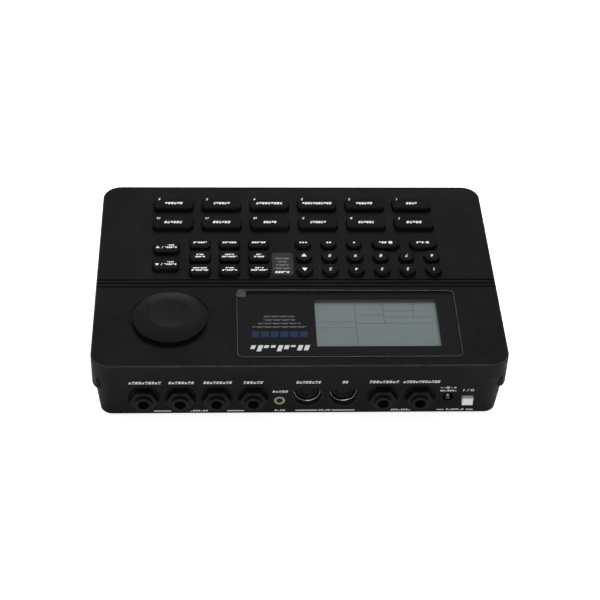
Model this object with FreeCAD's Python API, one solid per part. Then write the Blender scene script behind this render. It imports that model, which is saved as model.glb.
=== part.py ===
"""Desktop drum machine: a two part case with pads, keys, a display, a volume knob and rear sockets.

Millimetres. X runs to the player's right, Y to the rear socket panel and Z up.
The pieces are drawn about the case's middle and moved on export, so that the origin is the bottom
centre of the whole object, on the surface that the rubber feet stand on.
"""
import FreeCAD, Part
import math
import os

V = FreeCAD.Vector

# Case
CASE_WIDTH = 236.0
CASE_DEPTH = 162.0


def across(distance):
    """A distance along X on the 236 mm wide case, spread with the width."""
    return distance * CASE_WIDTH / 236.0


def along(distance):
    """A distance along Y on the 162 mm deep case, spread with the depth."""
    return distance * CASE_DEPTH / 162.0


CASE_HEIGHT = 41.9
CORNER_R = 11.0
FEET_HEIGHT = 2.1
TOP_PLATE = 2.5
SKIRT_HEIGHT = 11.0
SKIRT_WALL = 2.4
APRON_DROP = 9.0
APRON_GAP = 0.15
APRON_FROM_REAR = 3.5
TOP_EDGE_R = 1.2
LOWER_INSET = 1.0
LOWER_DRAFT_DEG = 5.3
LOWER_WALL = 2.6
FLOOR_THICKNESS = 2.6
BOTTOM_EDGE_R = 1.2
TONGUE_WALL = 1.0
TONGUE_RISE = 3.0
TONGUE_GAP = 0.2
GROOVE_WIDTH = 1.2
GROOVE_DEPTH = 0.5
GROOVE_PITCH = along(3.0)
GROOVE_COUNT = 3
GROOVE_FROM_FRONT = along(89.3)

# Pads and keys, measured from the case's middle line and its front edge
PAD_COLUMNS = 6
PAD_LENGTH = 23.8
PAD_DEPTH = 10.4
PAD_PITCH_X = across(29.56)
PAD_PITCH_Y = along(18.5)
PAD_FROM_FRONT = along(19.85)
PAD_RISE = 2.7
PAD_CORNER_R = 2.0
KEY_R = 4.7
KEY_PITCH_X = across(15.4)
KEY_PITCH_Y = along(12.25)
KEY_FROM_FRONT = along(57.4)
KEY_COLUMN_X = across(-81.9)
KEY_COLUMNS = 6
KEY_RISE = 2.3
LONG_KEY_LENGTH = 16.8
PLAY_X = across(-77.8)
STOP_X = across(-55.0)
FUNCTION_LENGTH = 12.0
FUNCTION_DEPTH = 9.0
FUNCTION_PITCH_X = across(17.6)
FUNCTION_COLUMN_X = across(22.1)
TEMPO_LENGTH = 15.2
TEMPO_DEPTH = 10.0
TEMPO_PITCH_Y = along(15.5)
TEMPO_X = across(77.5)
TEMPO_FROM_FRONT = along(61.0)
KEY_EDGE_R = 0.6
KEY_TRAVEL = 1.2
KEY_GAP = 0.4
FLANGE_LIP = 0.7
FLANGE_THICKNESS = 1.0
FLANGE_GAP = 0.1
PLUNGER_R = 1.8
PAD_PLUNGER_SPREAD = 7.0
DOME_WALL = 1.0
DOME_GAP = 0.4
DOME_OVERLAP = 0.7
DOME_MARGIN = 0.1
MAT_THICKNESS = 0.8
MAT_MARGIN = 2.4

# Display window, measured from the case's rear edge
LENS_WIDTH = across(127.5)
LENS_DEPTH = along(55.8)
LENS_CENTRE_X = across(-27.95)
LENS_FROM_REAR = along(6.9)
LENS_THICKNESS = 1.5
LENS_PROUD = 0.3
LENS_CORNER_R = 3.5
LENS_GAP = 0.1
WINDOW_WIDTH = across(70.8)
WINDOW_DEPTH = along(41.3)
WINDOW_CENTRE_X = across(-44.9)
WINDOW_FROM_REAR = along(15.2)
WINDOW_MARGIN = 3.4
BEZEL_OPENING_MARGIN = 2.8
GLASS_MARGIN = 4.4
GLASS_THICKNESS = 2.8
BEZEL_WALL = 1.6
BEZEL_LIP = 0.9
GLASS_GAP = 0.15

# Volume knob and its pot
KNOB_R = 21.2
KNOB_X = across(74.0)
KNOB_FROM_REAR = along(38.5)
KNOB_RISE = 4.9
KNOB_GAP = 1.7
KNOB_LIP = 0.6
KNOB_SHOULDER_R = 12.6
KNOB_SHOULDER_DROP = 0.1
KNOB_BULGE = 0.4
KNOB_WALL = 1.4
KNOB_HUB_R = 5.4
KNOB_HUB_CLEAR = 0.3
KNOB_ROOF = 0.9
DISH_R = 12.0
DISH_DEPTH = 1.0
KNOB_RECESS_R = 23.5
KNOB_RECESS_DEPTH = 0.4
POINTER_R = 15.0
POINTER_ANGLE_DEG = -32.0
POINTER_LENGTH = 2.4
POINTER_DEPTH = 0.5
SHAFT_R = 3.0
SHAFT_RUNNING_GAP = 0.05
SHAFT_ENGAGEMENT = 3.2
BUSHING_R = 3.5
BUSHING_HOLE_GAP = 0.4
POT_SIDE = 14.0

# Boards
BOARD_THICKNESS = 1.6
PANEL_BOARD_DROP = 8.0
PANEL_BOARD_EDGE = 8.0
MAIN_BOARD_TOP = 10.4
MAIN_BOARD_DEPTH = along(96.0)
BOARD_EDGE_GAP = 1.0
CHIPS_FROM_EDGE = along(16.0)
CHIPS = ((across(-52.0), across(8.0), along(8.0)), (across(-26.0), across(7.0), along(10.0)),
         (across(44.0), across(9.0), along(4.0)), (across(68.0), across(9.0), along(4.0)))
CHIP_HEIGHT = 2.2
CAPACITOR_COUNT = 5
CAPACITOR_FIRST_X = across(-64.0)
CAPACITOR_PITCH = across(28.0)
CAPACITORS_FROM_JACKS = along(12.0)
CAPACITOR_R = 3.2
CAPACITOR_HEIGHT = 9.0
RIBBON_WIDTH = across(34.0)
RIBBON_THICKNESS = 1.0
RIBBON_BEND_R = 4.0
RIBBON_FROM_REAR = along(92.0)

# Rear panel
RAIL_SETBACK = 6.4
JACK_AXIS_Z = 17.3
JACK_PITCH = across(20.65)
JACK_FIRST_X = across(88.65)
JACK_COUNT = 4
PEDAL_FIRST_X = across(-47.2)
PEDAL_PITCH = across(21.1)
PEDAL_COUNT = 2
JACK_BODY_WIDTH = 16.0
JACK_BODY_DEPTH = 24.0
JACK_BODY_ABOVE = 6.5
JACK_BORE_R = 3.2
JACK_BORE_LENGTH = 31.0
JACK_BUSHING_R = 4.85
JACK_BUSHING_OUT = 4.1
JACK_BUSHING_CHAMFER = 0.5
WELL_R = 9.0
WELL_SETBACK = 3.6
NUT_ACROSS_FLATS = 14.0
NUT_THICKNESS = 5.6
NUT_FLANGE_R = 8.0
NUT_FLANGE_THICKNESS = 1.0
NUT_THREAD_GAP = 0.05
PANEL_HOLE_GAP = 0.15
TAPE_AXIS_Z = 14.5
TAPE_NOSE_R = 3.1
TAPE_NOSE_SETBACK = 2.0
TAPE_BORE_R = 1.8
TAPE_BORE_LENGTH = 14.0
TAPE_BODY_WIDTH = 7.0
TAPE_BODY_DEPTH = 14.0
MIDI_CENTRE_X = across(-14.5)
MIDI_PITCH = 20.6
MIDI_AXIS_Z = 18.5
MIDI_COLLAR_R = 9.3
MIDI_COLLAR_SETBACK = 2.2
MIDI_SHIELD_R = 8.0
MIDI_SHIELD_DROP = 3.1
MIDI_SLOT_OUTER_R = 7.2
MIDI_INSERT_R = 6.1
MIDI_INSERT_DROP = 0.8
MIDI_SLOT_DEPTH = 8.0
MIDI_INSERT_ROOT = 1.0
MIDI_PIN_CIRCLE_R = 3.75
MIDI_PIN_HOLE_R = 0.75
MIDI_PIN_COUNT = 5
MIDI_BODY_HALF = 9.8
MIDI_BODY_DEPTH = 12.6
INLET_X = across(-84.9)
INLET_WIDTH = 9.0
INLET_TOP_Z = 20.4
INLET_AXIS_Z = 16.1
INLET_SETBACK = 2.6
INLET_DEPTH = 18.4
INLET_BORE_R = 3.1
INLET_BORE_LENGTH = 9.5
INLET_PIN_R = 1.0
INLET_PIN_LENGTH = 8.0
SWITCH_X = across(-96.1)
SWITCH_AXIS_Z = 14.3
BUTTON_WIDTH = 6.3
BUTTON_HEIGHT = 5.4
BUTTON_OUT = 0.0
BUTTON_TRAVEL = 2.2
BUTTON_STEM = 3.0
STEM_LENGTH = 8.0
STEM_GAP = 0.15
BUTTON_GAP = 0.3
SWITCH_BODY_WIDTH = 8.0
SWITCH_BODY_DEPTH = 11.5
SWITCH_SETBACK = 9.5

# Screws, bosses and feet
SCREW_SHANK_R = 1.45
SCREW_SHANK_LENGTH = 5.0
SCREW_HEAD_R = 2.75
SCREW_HEAD_HEIGHT = 1.9
SCREW_SLOT_WIDTH = 0.8
SCREW_SLOT_DEPTH = 0.9
PILOT_GAP = 0.05
CLEAR_GAP = 0.25
BOSS_FROM_SIDE = 12.0
BOSS_R = 3.4
BOSS_END_Z = 8.7
PILLAR_R = 4.6
HEAD_WELL_R = 3.1
HEAD_SEAT_Z = 6.7
BOSS_FROM_REAR = (along(41.0), along(94.0), along(147.0))
POST_R = 2.4
STANDOFF_R = 3.2
FOOT_R = 8.0
FOOT_SEAT_DEPTH = 0.6
FOOT_GAP = 0.1
FOOT_FROM_SIDE = 24.0
FOOT_FROM_ENDS = 23.0
FOOT_EDGE_R = 0.8

# Levels and lines worked out from the sizes above
TOP_Z = FEET_HEIGHT + CASE_HEIGHT
PLATE_UNDER_Z = TOP_Z - TOP_PLATE
SKIRT_BOTTOM_Z = TOP_Z - SKIRT_HEIGHT
FLOOR_TOP_Z = FEET_HEIGHT + FLOOR_THICKNESS
HALF_WIDTH = CASE_WIDTH / 2
FRONT_Y = -CASE_DEPTH / 2
REAR_Y = CASE_DEPTH / 2
RAIL_Y = REAR_Y - RAIL_SETBACK
WELL_Y = REAR_Y - WELL_SETBACK
BOARD_TOP_Z = TOP_Z - PANEL_BOARD_DROP
BOARD_UNDER_Z = BOARD_TOP_Z - BOARD_THICKNESS
FLANGE_TOP_Z = PLATE_UNDER_Z - FLANGE_GAP
FLANGE_BOTTOM_Z = FLANGE_TOP_Z - FLANGE_THICKNESS
MAT_TOP_Z = BOARD_TOP_Z + MAT_THICKNESS
PLUNGER_TIP_Z = MAT_TOP_Z + KEY_TRAVEL + DOME_MARGIN
DOME_TOP_Z = PLUNGER_TIP_Z + DOME_OVERLAP
KNOB_Y = REAR_Y - KNOB_FROM_REAR
LENS_CENTRE_Y = REAR_Y - LENS_FROM_REAR - LENS_DEPTH / 2
LENS_UNDER_Z = TOP_Z + LENS_PROUD - LENS_THICKNESS
WINDOW_CENTRE_Y = REAR_Y - WINDOW_FROM_REAR - WINDOW_DEPTH / 2
MAIN_BOARD_UNDER_Z = MAIN_BOARD_TOP - BOARD_THICKNESS
BOSS_X = HALF_WIDTH - BOSS_FROM_SIDE
PANEL_BOARD_HALF_X = BOSS_X - BOSS_R - BOARD_EDGE_GAP
PANEL_BOARD_FRONT_Y = FRONT_Y + PANEL_BOARD_EDGE + SKIRT_WALL
PANEL_BOARD_REAR_Y = REAR_Y - PANEL_BOARD_EDGE
MAIN_BOARD_REAR_Y = RAIL_Y - BOARD_EDGE_GAP
MAIN_BOARD_FRONT_Y = MAIN_BOARD_REAR_Y - MAIN_BOARD_DEPTH
PILLAR_INNER_X = BOSS_X - PILLAR_R
MAIN_BOARD_HALF_X = PILLAR_INNER_X - BOARD_EDGE_GAP
FRAME_SHIFT = V(0, -JACK_BUSHING_OUT / 2, 0)
JACK_LAST_X = JACK_FIRST_X - (JACK_COUNT - 1) * JACK_PITCH
JACK_XS = ([JACK_FIRST_X - i * JACK_PITCH for i in range(JACK_COUNT)]
           + [PEDAL_FIRST_X - i * PEDAL_PITCH for i in range(PEDAL_COUNT)])
MIDI_X = (MIDI_CENTRE_X + MIDI_PITCH / 2, MIDI_CENTRE_X - MIDI_PITCH / 2)
TAPE_X = (MIDI_X[0] + MIDI_BODY_HALF + JACK_LAST_X - WELL_R) / 2


def rounded_wire(half_x, half_y, radius, z, centre_x=0.0, centre_y=0.0):
    """Closed outline of a rectangle with round corners, level at height z."""
    x0, x1 = centre_x - half_x, centre_x + half_x
    y0, y1 = centre_y - half_y, centre_y + half_y
    r = min(radius, half_x * 0.999, half_y * 0.999)
    k = r * (1 - math.sqrt(0.5))
    edges = [
        Part.LineSegment(V(x0 + r, y0, z), V(x1 - r, y0, z)).toShape(),
        Part.Arc(V(x1 - r, y0, z), V(x1 - k, y0 + k, z), V(x1, y0 + r, z)).toShape(),
        Part.LineSegment(V(x1, y0 + r, z), V(x1, y1 - r, z)).toShape(),
        Part.Arc(V(x1, y1 - r, z), V(x1 - k, y1 - k, z), V(x1 - r, y1, z)).toShape(),
        Part.LineSegment(V(x1 - r, y1, z), V(x0 + r, y1, z)).toShape(),
        Part.Arc(V(x0 + r, y1, z), V(x0 + k, y1 - k, z), V(x0, y1 - r, z)).toShape(),
        Part.LineSegment(V(x0, y1 - r, z), V(x0, y0 + r, z)).toShape(),
        Part.Arc(V(x0, y0 + r, z), V(x0 + k, y0 + k, z), V(x0 + r, y0, z)).toShape(),
    ]
    return Part.Wire(edges)


def rounded_block(half_x, half_y, radius, z0, z1, centre_x=0.0, centre_y=0.0):
    """Upright block with round vertical corners between two heights."""
    face = Part.Face(rounded_wire(half_x, half_y, radius, z0, centre_x, centre_y))
    return face.extrude(V(0, 0, z1 - z0))


def box(x0, x1, y0, y1, z0, z1):
    """Box between two corners."""
    return Part.makeBox(x1 - x0, y1 - y0, z1 - z0, V(x0, y0, z0))


def post(x, y, z0, z1, radius):
    """Upright cylinder between two heights."""
    return Part.makeCylinder(radius, z1 - z0, V(x, y, z0))


def rod(x, z, y0, y1, radius):
    """Cylinder that runs front to rear between two depths."""
    return Part.makeCylinder(radius, y1 - y0, V(x, y0, z), V(0, 1, 0))


def joined(shapes):
    """One solid from touching or overlapping solids."""
    if len(shapes) == 1:
        return shapes[0]
    return shapes[0].multiFuse(shapes[1:]).removeSplitter()


def level_edges(shape, z):
    """Edges of a shape that lie at one height."""
    return [e for e in shape.Edges
            if abs(e.BoundBox.ZMin - z) < 1e-4 and abs(e.BoundBox.ZMax - z) < 1e-4]


def lower_offset(z):
    """How far the lower case's drafted wall lies inside the case outline at height z."""
    return LOWER_INSET + (SKIRT_BOTTOM_Z - z) * math.tan(math.radians(LOWER_DRAFT_DEG))


def drafted_block(z0, z1, wall):
    """The lower case's drafted body, drawn in by a wall's thickness."""
    wires = []
    for z in (z0, z1):
        inset = lower_offset(z) + wall
        wires.append(rounded_wire(HALF_WIDTH - inset, REAR_Y - inset, CORNER_R - inset, z))
    return Part.makeLoft(wires, True, True)


def pad_places():
    """Name and centre of each pad, numbered from the front left."""
    places = []
    for row in range(2):
        for column in range(PAD_COLUMNS):
            x = (column - (PAD_COLUMNS - 1) / 2) * PAD_PITCH_X
            y = FRONT_Y + PAD_FROM_FRONT + row * PAD_PITCH_Y
            places.append((f"pad_{row * PAD_COLUMNS + column + 1}", x, y))
    return places


def key_row_y(row):
    """Centre line of a key row, counted from the front."""
    return FRONT_Y + KEY_FROM_FRONT + row * KEY_PITCH_Y


def key_column_x(column):
    """Centre line of a round key's column, counted from the left."""
    return KEY_COLUMN_X + column * KEY_PITCH_X


def key_places():
    """Name, centre, half length, half depth and corner of each small key."""
    places = []
    digits = (("key_6", "key_7", "key_8", "key_9", "key_0", "arrow_down"),
              ("key_1", "key_2", "key_3", "key_4", "key_5", "arrow_up"))
    for row, names in enumerate(digits):
        for column, name in enumerate(names):
            places.append((name, key_column_x(column), key_row_y(row + 1), KEY_R, KEY_R, KEY_R))
    for name, x in (("play_key", PLAY_X), ("stop_key", STOP_X)):
        places.append((name, x, key_row_y(0), LONG_KEY_LENGTH / 2, KEY_R, KEY_R))
    for offset, name in enumerate(("pattern_a_key", "pattern_b_key", "fill_key")):
        x = key_column_x(KEY_COLUMNS - 3 + offset)
        places.append((name, x, key_row_y(0), KEY_R, KEY_R, KEY_R))
    for row in range(3):
        for column in range(3):
            x = FUNCTION_COLUMN_X + column * FUNCTION_PITCH_X
            name = f"function_key_{(2 - row) * 3 + column + 1}"
            places.append((name, x, key_row_y(row), FUNCTION_LENGTH / 2, FUNCTION_DEPTH / 2, PAD_CORNER_R))
    for row, name in enumerate(("tempo_down_key", "tempo_up_key")):
        y = FRONT_Y + TEMPO_FROM_FRONT + row * TEMPO_PITCH_Y
        places.append((name, TEMPO_X, y, TEMPO_LENGTH / 2, TEMPO_DEPTH / 2, PAD_CORNER_R))
    return places


def all_caps():
    """Every pad and key with its size, rise and plunger places."""
    caps = []
    for name, x, y in pad_places():
        spread = [(x - PAD_PLUNGER_SPREAD, y), (x + PAD_PLUNGER_SPREAD, y)]
        caps.append((name, x, y, PAD_LENGTH / 2, PAD_DEPTH / 2, PAD_CORNER_R, PAD_RISE, spread))
    for name, x, y, half_x, half_y, corner in key_places():
        caps.append((name, x, y, half_x, half_y, corner, KEY_RISE, [(x, y)]))
    return caps


def cap_solid(x, y, half_x, half_y, corner, rise, plungers):
    """A pad or key: its cap, the flange that keeps it in and its plungers."""
    body = rounded_block(half_x, half_y, corner, FLANGE_BOTTOM_Z, TOP_Z + rise, x, y)
    body = body.makeFillet(KEY_EDGE_R, level_edges(body, TOP_Z + rise))
    reach = KEY_GAP + FLANGE_LIP
    flange = rounded_block(half_x + reach, half_y + reach, corner + reach,
                           FLANGE_BOTTOM_Z, FLANGE_TOP_Z, x, y)
    stems = [post(px, py, PLUNGER_TIP_Z, FLANGE_BOTTOM_Z, PLUNGER_R) for px, py in plungers]
    return joined([body, flange] + stems)


def boss_places():
    """Centres of the bosses that hold the two case halves together."""
    return [(side * BOSS_X, REAR_Y - back) for side in (-1, 1) for back in BOSS_FROM_REAR]


def panel_post_places():
    """Centres of the posts that carry the panel board: its edges and the middle of the pads."""
    edge_x = PANEL_BOARD_HALF_X - POST_R - BOARD_EDGE_GAP
    front_y = PANEL_BOARD_FRONT_Y + POST_R
    rear_y = PANEL_BOARD_REAR_Y - POST_R - BOARD_EDGE_GAP
    middle_y = FRONT_Y + PAD_FROM_FRONT + PAD_PITCH_Y / 2
    groove_y = FRONT_Y + GROOVE_FROM_FRONT
    places = [(side * edge_x, y) for side in (-1, 1) for y in (front_y, groove_y, rear_y)]
    return places + [(0.0, middle_y)]


def standoff_places():
    """Centres of the standoffs that carry the main board."""
    edge_x = MAIN_BOARD_HALF_X - STANDOFF_R - BOARD_EDGE_GAP
    front_y = MAIN_BOARD_FRONT_Y + STANDOFF_R + BOARD_EDGE_GAP
    rear_y = RAIL_Y - JACK_BODY_DEPTH - STANDOFF_R - BOARD_EDGE_GAP
    return [(side * edge_x, y) for side in (-1, 1) for y in (front_y, rear_y)]


def foot_places():
    """Centres of the rubber feet."""
    x = HALF_WIDTH - FOOT_FROM_SIDE
    y = REAR_Y - FOOT_FROM_ENDS
    return [(sx * x, sy * y) for sx in (-1, 1) for sy in (-1, 1)]


def side_apron():
    """Deeper part of the skirt, round the front and sides, which leaves the rear panel free."""
    bottom = SKIRT_BOTTOM_Z - APRON_DROP
    ring = rounded_block(HALF_WIDTH, REAR_Y, CORNER_R, bottom, SKIRT_BOTTOM_Z)
    inner = drafted_block(bottom - 1, SKIRT_BOTTOM_Z + 1, -APRON_GAP)
    rear = box(-HALF_WIDTH - 1, HALF_WIDTH + 1, REAR_Y - APRON_FROM_REAR, REAR_Y + 1,
               bottom - 1, SKIRT_BOTTOM_Z)
    return ring.cut([inner, rear])


def top_case():
    """Upper shell: the panel with its skirt, openings, grooves, bosses and posts."""
    shell = rounded_block(HALF_WIDTH, REAR_Y, CORNER_R, SKIRT_BOTTOM_Z, TOP_Z)
    shell = shell.makeFillet(TOP_EDGE_R, level_edges(shell, TOP_Z))
    hollow = rounded_block(HALF_WIDTH - SKIRT_WALL, REAR_Y - SKIRT_WALL, CORNER_R - SKIRT_WALL,
                           SKIRT_BOTTOM_Z - 1, PLATE_UNDER_Z)
    cuts = [hollow]
    for groove in range(GROOVE_COUNT):
        y = FRONT_Y + GROOVE_FROM_FRONT + groove * GROOVE_PITCH
        cuts.append(box(-HALF_WIDTH - 1, HALF_WIDTH + 1, y - GROOVE_WIDTH / 2, y + GROOVE_WIDTH / 2,
                        TOP_Z - GROOVE_DEPTH, TOP_Z + 1))
    for name, x, y, half_x, half_y, corner, rise, plungers in all_caps():
        cuts.append(rounded_block(half_x + KEY_GAP, half_y + KEY_GAP, corner + KEY_GAP,
                                  PLATE_UNDER_Z - 1, TOP_Z + 1, x, y))
    cuts.append(rounded_block(LENS_WIDTH / 2 + LENS_GAP, LENS_DEPTH / 2 + LENS_GAP,
                              LENS_CORNER_R + LENS_GAP, LENS_UNDER_Z, TOP_Z + 1,
                              LENS_CENTRE_X, LENS_CENTRE_Y))
    cuts.append(rounded_block(WINDOW_WIDTH / 2 + WINDOW_MARGIN, WINDOW_DEPTH / 2 + WINDOW_MARGIN, 1.0,
                              PLATE_UNDER_Z - 1, TOP_Z + 1, WINDOW_CENTRE_X, WINDOW_CENTRE_Y))
    cuts.append(post(KNOB_X, KNOB_Y, TOP_Z - KNOB_RECESS_DEPTH, TOP_Z + 1, KNOB_RECESS_R))
    cuts.append(post(KNOB_X, KNOB_Y, PLATE_UNDER_Z - 1, TOP_Z + 1, BUSHING_R + BUSHING_HOLE_GAP))
    shell = shell.cut(cuts)
    bosses = [post(x, y, BOSS_END_Z, PLATE_UNDER_Z, BOSS_R) for x, y in boss_places()]
    posts = [post(x, y, BOARD_TOP_Z, PLATE_UNDER_Z, POST_R) for x, y in panel_post_places()]
    shell = joined([shell, side_apron()] + bosses + posts)
    pilot_r = SCREW_SHANK_R + PILOT_GAP
    reach = SCREW_SHANK_LENGTH + CLEAR_GAP
    pilots = [post(x, y, BOSS_END_Z - 1, HEAD_SEAT_Z + reach, pilot_r) for x, y in boss_places()]
    pilots += [post(x, y, BOARD_TOP_Z - 1, BOARD_UNDER_Z + reach, pilot_r)
               for x, y in panel_post_places()]
    return shell.cut(pilots)


def bottom_case():
    """Lower tray: drafted walls, tongue, socket rail, wells, pillars and standoffs."""
    body = drafted_block(FEET_HEIGHT, SKIRT_BOTTOM_Z, 0.0)
    body = body.makeFillet(BOTTOM_EDGE_R, level_edges(body, FEET_HEIGHT))
    body = body.cut(drafted_block(FLOOR_TOP_Z, SKIRT_BOTTOM_Z + 1, LOWER_WALL))
    tongue_inset = SKIRT_WALL + TONGUE_GAP
    tongue = rounded_block(HALF_WIDTH - tongue_inset, REAR_Y - tongue_inset, CORNER_R - tongue_inset,
                           SKIRT_BOTTOM_Z, SKIRT_BOTTOM_Z + TONGUE_RISE)
    inner = tongue_inset + TONGUE_WALL
    tongue = tongue.cut(rounded_block(HALF_WIDTH - inner, REAR_Y - inner, CORNER_R - inner,
                                      SKIRT_BOTTOM_Z - 1, SKIRT_BOTTOM_Z + TONGUE_RISE + 1))
    rail = box(-HALF_WIDTH, HALF_WIDTH, RAIL_Y, REAR_Y, FEET_HEIGHT, SKIRT_BOTTOM_Z)
    rail = rail.common(drafted_block(FEET_HEIGHT, SKIRT_BOTTOM_Z, LOWER_WALL / 2))
    adds = [tongue, rail]
    adds += [post(x, y, FEET_HEIGHT + 1, BOSS_END_Z, PILLAR_R) for x, y in boss_places()]
    adds += [post(x, y, FEET_HEIGHT + 1, MAIN_BOARD_UNDER_Z, STANDOFF_R) for x, y in standoff_places()]
    body = joined([body] + adds)
    cuts = []
    for x in JACK_XS:
        cuts.append(rod(x, JACK_AXIS_Z, WELL_Y, REAR_Y + 1, WELL_R))
        cuts.append(rod(x, JACK_AXIS_Z, RAIL_Y - 1, REAR_Y + 1, JACK_BUSHING_R + PANEL_HOLE_GAP))
    cuts.append(rod(TAPE_X, TAPE_AXIS_Z, RAIL_Y - 1, REAR_Y + 1, TAPE_NOSE_R + PANEL_HOLE_GAP))
    for x in MIDI_X:
        cuts.append(rod(x, MIDI_AXIS_Z, RAIL_Y - 1, REAR_Y + 1, MIDI_COLLAR_R + PANEL_HOLE_GAP))
    cuts.append(box(INLET_X - INLET_WIDTH / 2 - PANEL_HOLE_GAP, INLET_X + INLET_WIDTH / 2 + PANEL_HOLE_GAP,
                    RAIL_Y - 1, REAR_Y + 1,
                    MAIN_BOARD_TOP - PANEL_HOLE_GAP, INLET_TOP_Z + PANEL_HOLE_GAP))
    half_w = BUTTON_WIDTH / 2 + BUTTON_GAP
    half_h = BUTTON_HEIGHT / 2 + BUTTON_GAP
    cuts.append(box(SWITCH_X - half_w, SWITCH_X + half_w, RAIL_Y - 1, REAR_Y + 1,
                    SWITCH_AXIS_Z - half_h, SWITCH_AXIS_Z + half_h))
    for x, y in boss_places():
        cuts.append(post(x, y, FEET_HEIGHT - 1, HEAD_SEAT_Z, HEAD_WELL_R))
        cuts.append(post(x, y, HEAD_SEAT_Z - 1, BOSS_END_Z + 1, SCREW_SHANK_R + CLEAR_GAP))
    pilot_end = MAIN_BOARD_TOP - SCREW_SHANK_LENGTH - CLEAR_GAP
    for x, y in standoff_places():
        cuts.append(post(x, y, pilot_end, MAIN_BOARD_TOP, SCREW_SHANK_R + PILOT_GAP))
    for x, y in foot_places():
        cuts.append(post(x, y, FEET_HEIGHT - 1, FEET_HEIGHT + FOOT_SEAT_DEPTH, FOOT_R + FOOT_GAP))
    return body.cut(cuts)


def screw(x, y, seat_z, length, up):
    """Pan head screw whose head bears on seat_z and whose shank points up or down."""
    shank = post(x, y, seat_z, seat_z + length, SCREW_SHANK_R)
    head = post(x, y, seat_z - SCREW_HEAD_HEIGHT, seat_z, SCREW_HEAD_R)
    slot_z = seat_z - SCREW_HEAD_HEIGHT
    reach = SCREW_HEAD_R * 0.7
    half = SCREW_SLOT_WIDTH / 2
    slots = [box(x - reach, x + reach, y - half, y + half, slot_z, slot_z + SCREW_SLOT_DEPTH),
             box(x - half, x + half, y - reach, y + reach, slot_z, slot_z + SCREW_SLOT_DEPTH)]
    solid = joined([shank, head]).cut(slots)
    if not up:
        solid = solid.mirror(V(x, y, seat_z), V(0, 0, 1))
    return solid


def screws():
    """Case screws from below, panel board screws from below and main board screws from above."""
    solids = [screw(x, y, HEAD_SEAT_Z, SCREW_SHANK_LENGTH, True) for x, y in boss_places()]
    solids += [screw(x, y, BOARD_UNDER_Z, SCREW_SHANK_LENGTH, True) for x, y in panel_post_places()]
    solids += [screw(x, y, MAIN_BOARD_TOP, SCREW_SHANK_LENGTH, False) for x, y in standoff_places()]
    return solids


def rubber_feet():
    """Four round feet in their seats under the tray."""
    feet = []
    for x, y in foot_places():
        foot = post(x, y, 0.0, FEET_HEIGHT + FOOT_SEAT_DEPTH, FOOT_R)
        feet.append(foot.makeFillet(FOOT_EDGE_R, level_edges(foot, 0.0)))
    return feet


def panel_board():
    """Circuit board under the keys, the display and the knob."""
    x = PANEL_BOARD_HALF_X
    board = box(-x, x, PANEL_BOARD_FRONT_Y, PANEL_BOARD_REAR_Y, BOARD_UNDER_Z, BOARD_TOP_Z)
    holes = [post(px, py, BOARD_UNDER_Z - 1, BOARD_TOP_Z + 1, SCREW_SHANK_R + CLEAR_GAP)
             for px, py in panel_post_places()]
    return board.cut(holes)


def keypad_mat():
    """Silicone sheet with a sleeve round each plunger, clear of the board's posts."""
    caps = all_caps()
    xs = [v for c in caps for v in (c[1] - c[3], c[1] + c[3])]
    ys = [v for c in caps for v in (c[2] - c[4], c[2] + c[4])]
    sheet = box(min(xs) - MAT_MARGIN, max(xs) + MAT_MARGIN, min(ys) - MAT_MARGIN, max(ys) + MAT_MARGIN,
                BOARD_TOP_Z, MAT_TOP_Z)
    inner = PLUNGER_R + DOME_GAP
    sleeves = []
    for cap in caps:
        for px, py in cap[7]:
            sleeve = post(px, py, BOARD_TOP_Z, DOME_TOP_Z, inner + DOME_WALL)
            sleeves.append(sleeve.cut(post(px, py, MAT_TOP_Z, DOME_TOP_Z + 1, inner)))
    posts = [post(px, py, BOARD_TOP_Z - 1, PLATE_UNDER_Z, POST_R + CLEAR_GAP)
             for px, py in panel_post_places()]
    return joined([sheet] + sleeves).cut(posts)


def display_lens():
    """Clear window plate, a little proud of the panel, with a small chamfer."""
    lens = rounded_block(LENS_WIDTH / 2, LENS_DEPTH / 2, LENS_CORNER_R,
                         LENS_UNDER_Z, TOP_Z + LENS_PROUD, LENS_CENTRE_X, LENS_CENTRE_Y)
    return lens.makeChamfer(LENS_PROUD * 0.8, level_edges(lens, TOP_Z + LENS_PROUD))


def glass_half():
    """Half width and half depth of the display glass."""
    return WINDOW_WIDTH / 2 + GLASS_MARGIN, WINDOW_DEPTH / 2 + GLASS_MARGIN


def lcd_glass():
    """Liquid crystal glass, held up against the bezel's lip."""
    half_x, half_y = glass_half()
    top = PLATE_UNDER_Z - FLANGE_GAP - BEZEL_LIP
    return box(WINDOW_CENTRE_X - half_x, WINDOW_CENTRE_X + half_x,
               WINDOW_CENTRE_Y - half_y, WINDOW_CENTRE_Y + half_y, top - GLASS_THICKNESS, top)


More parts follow.
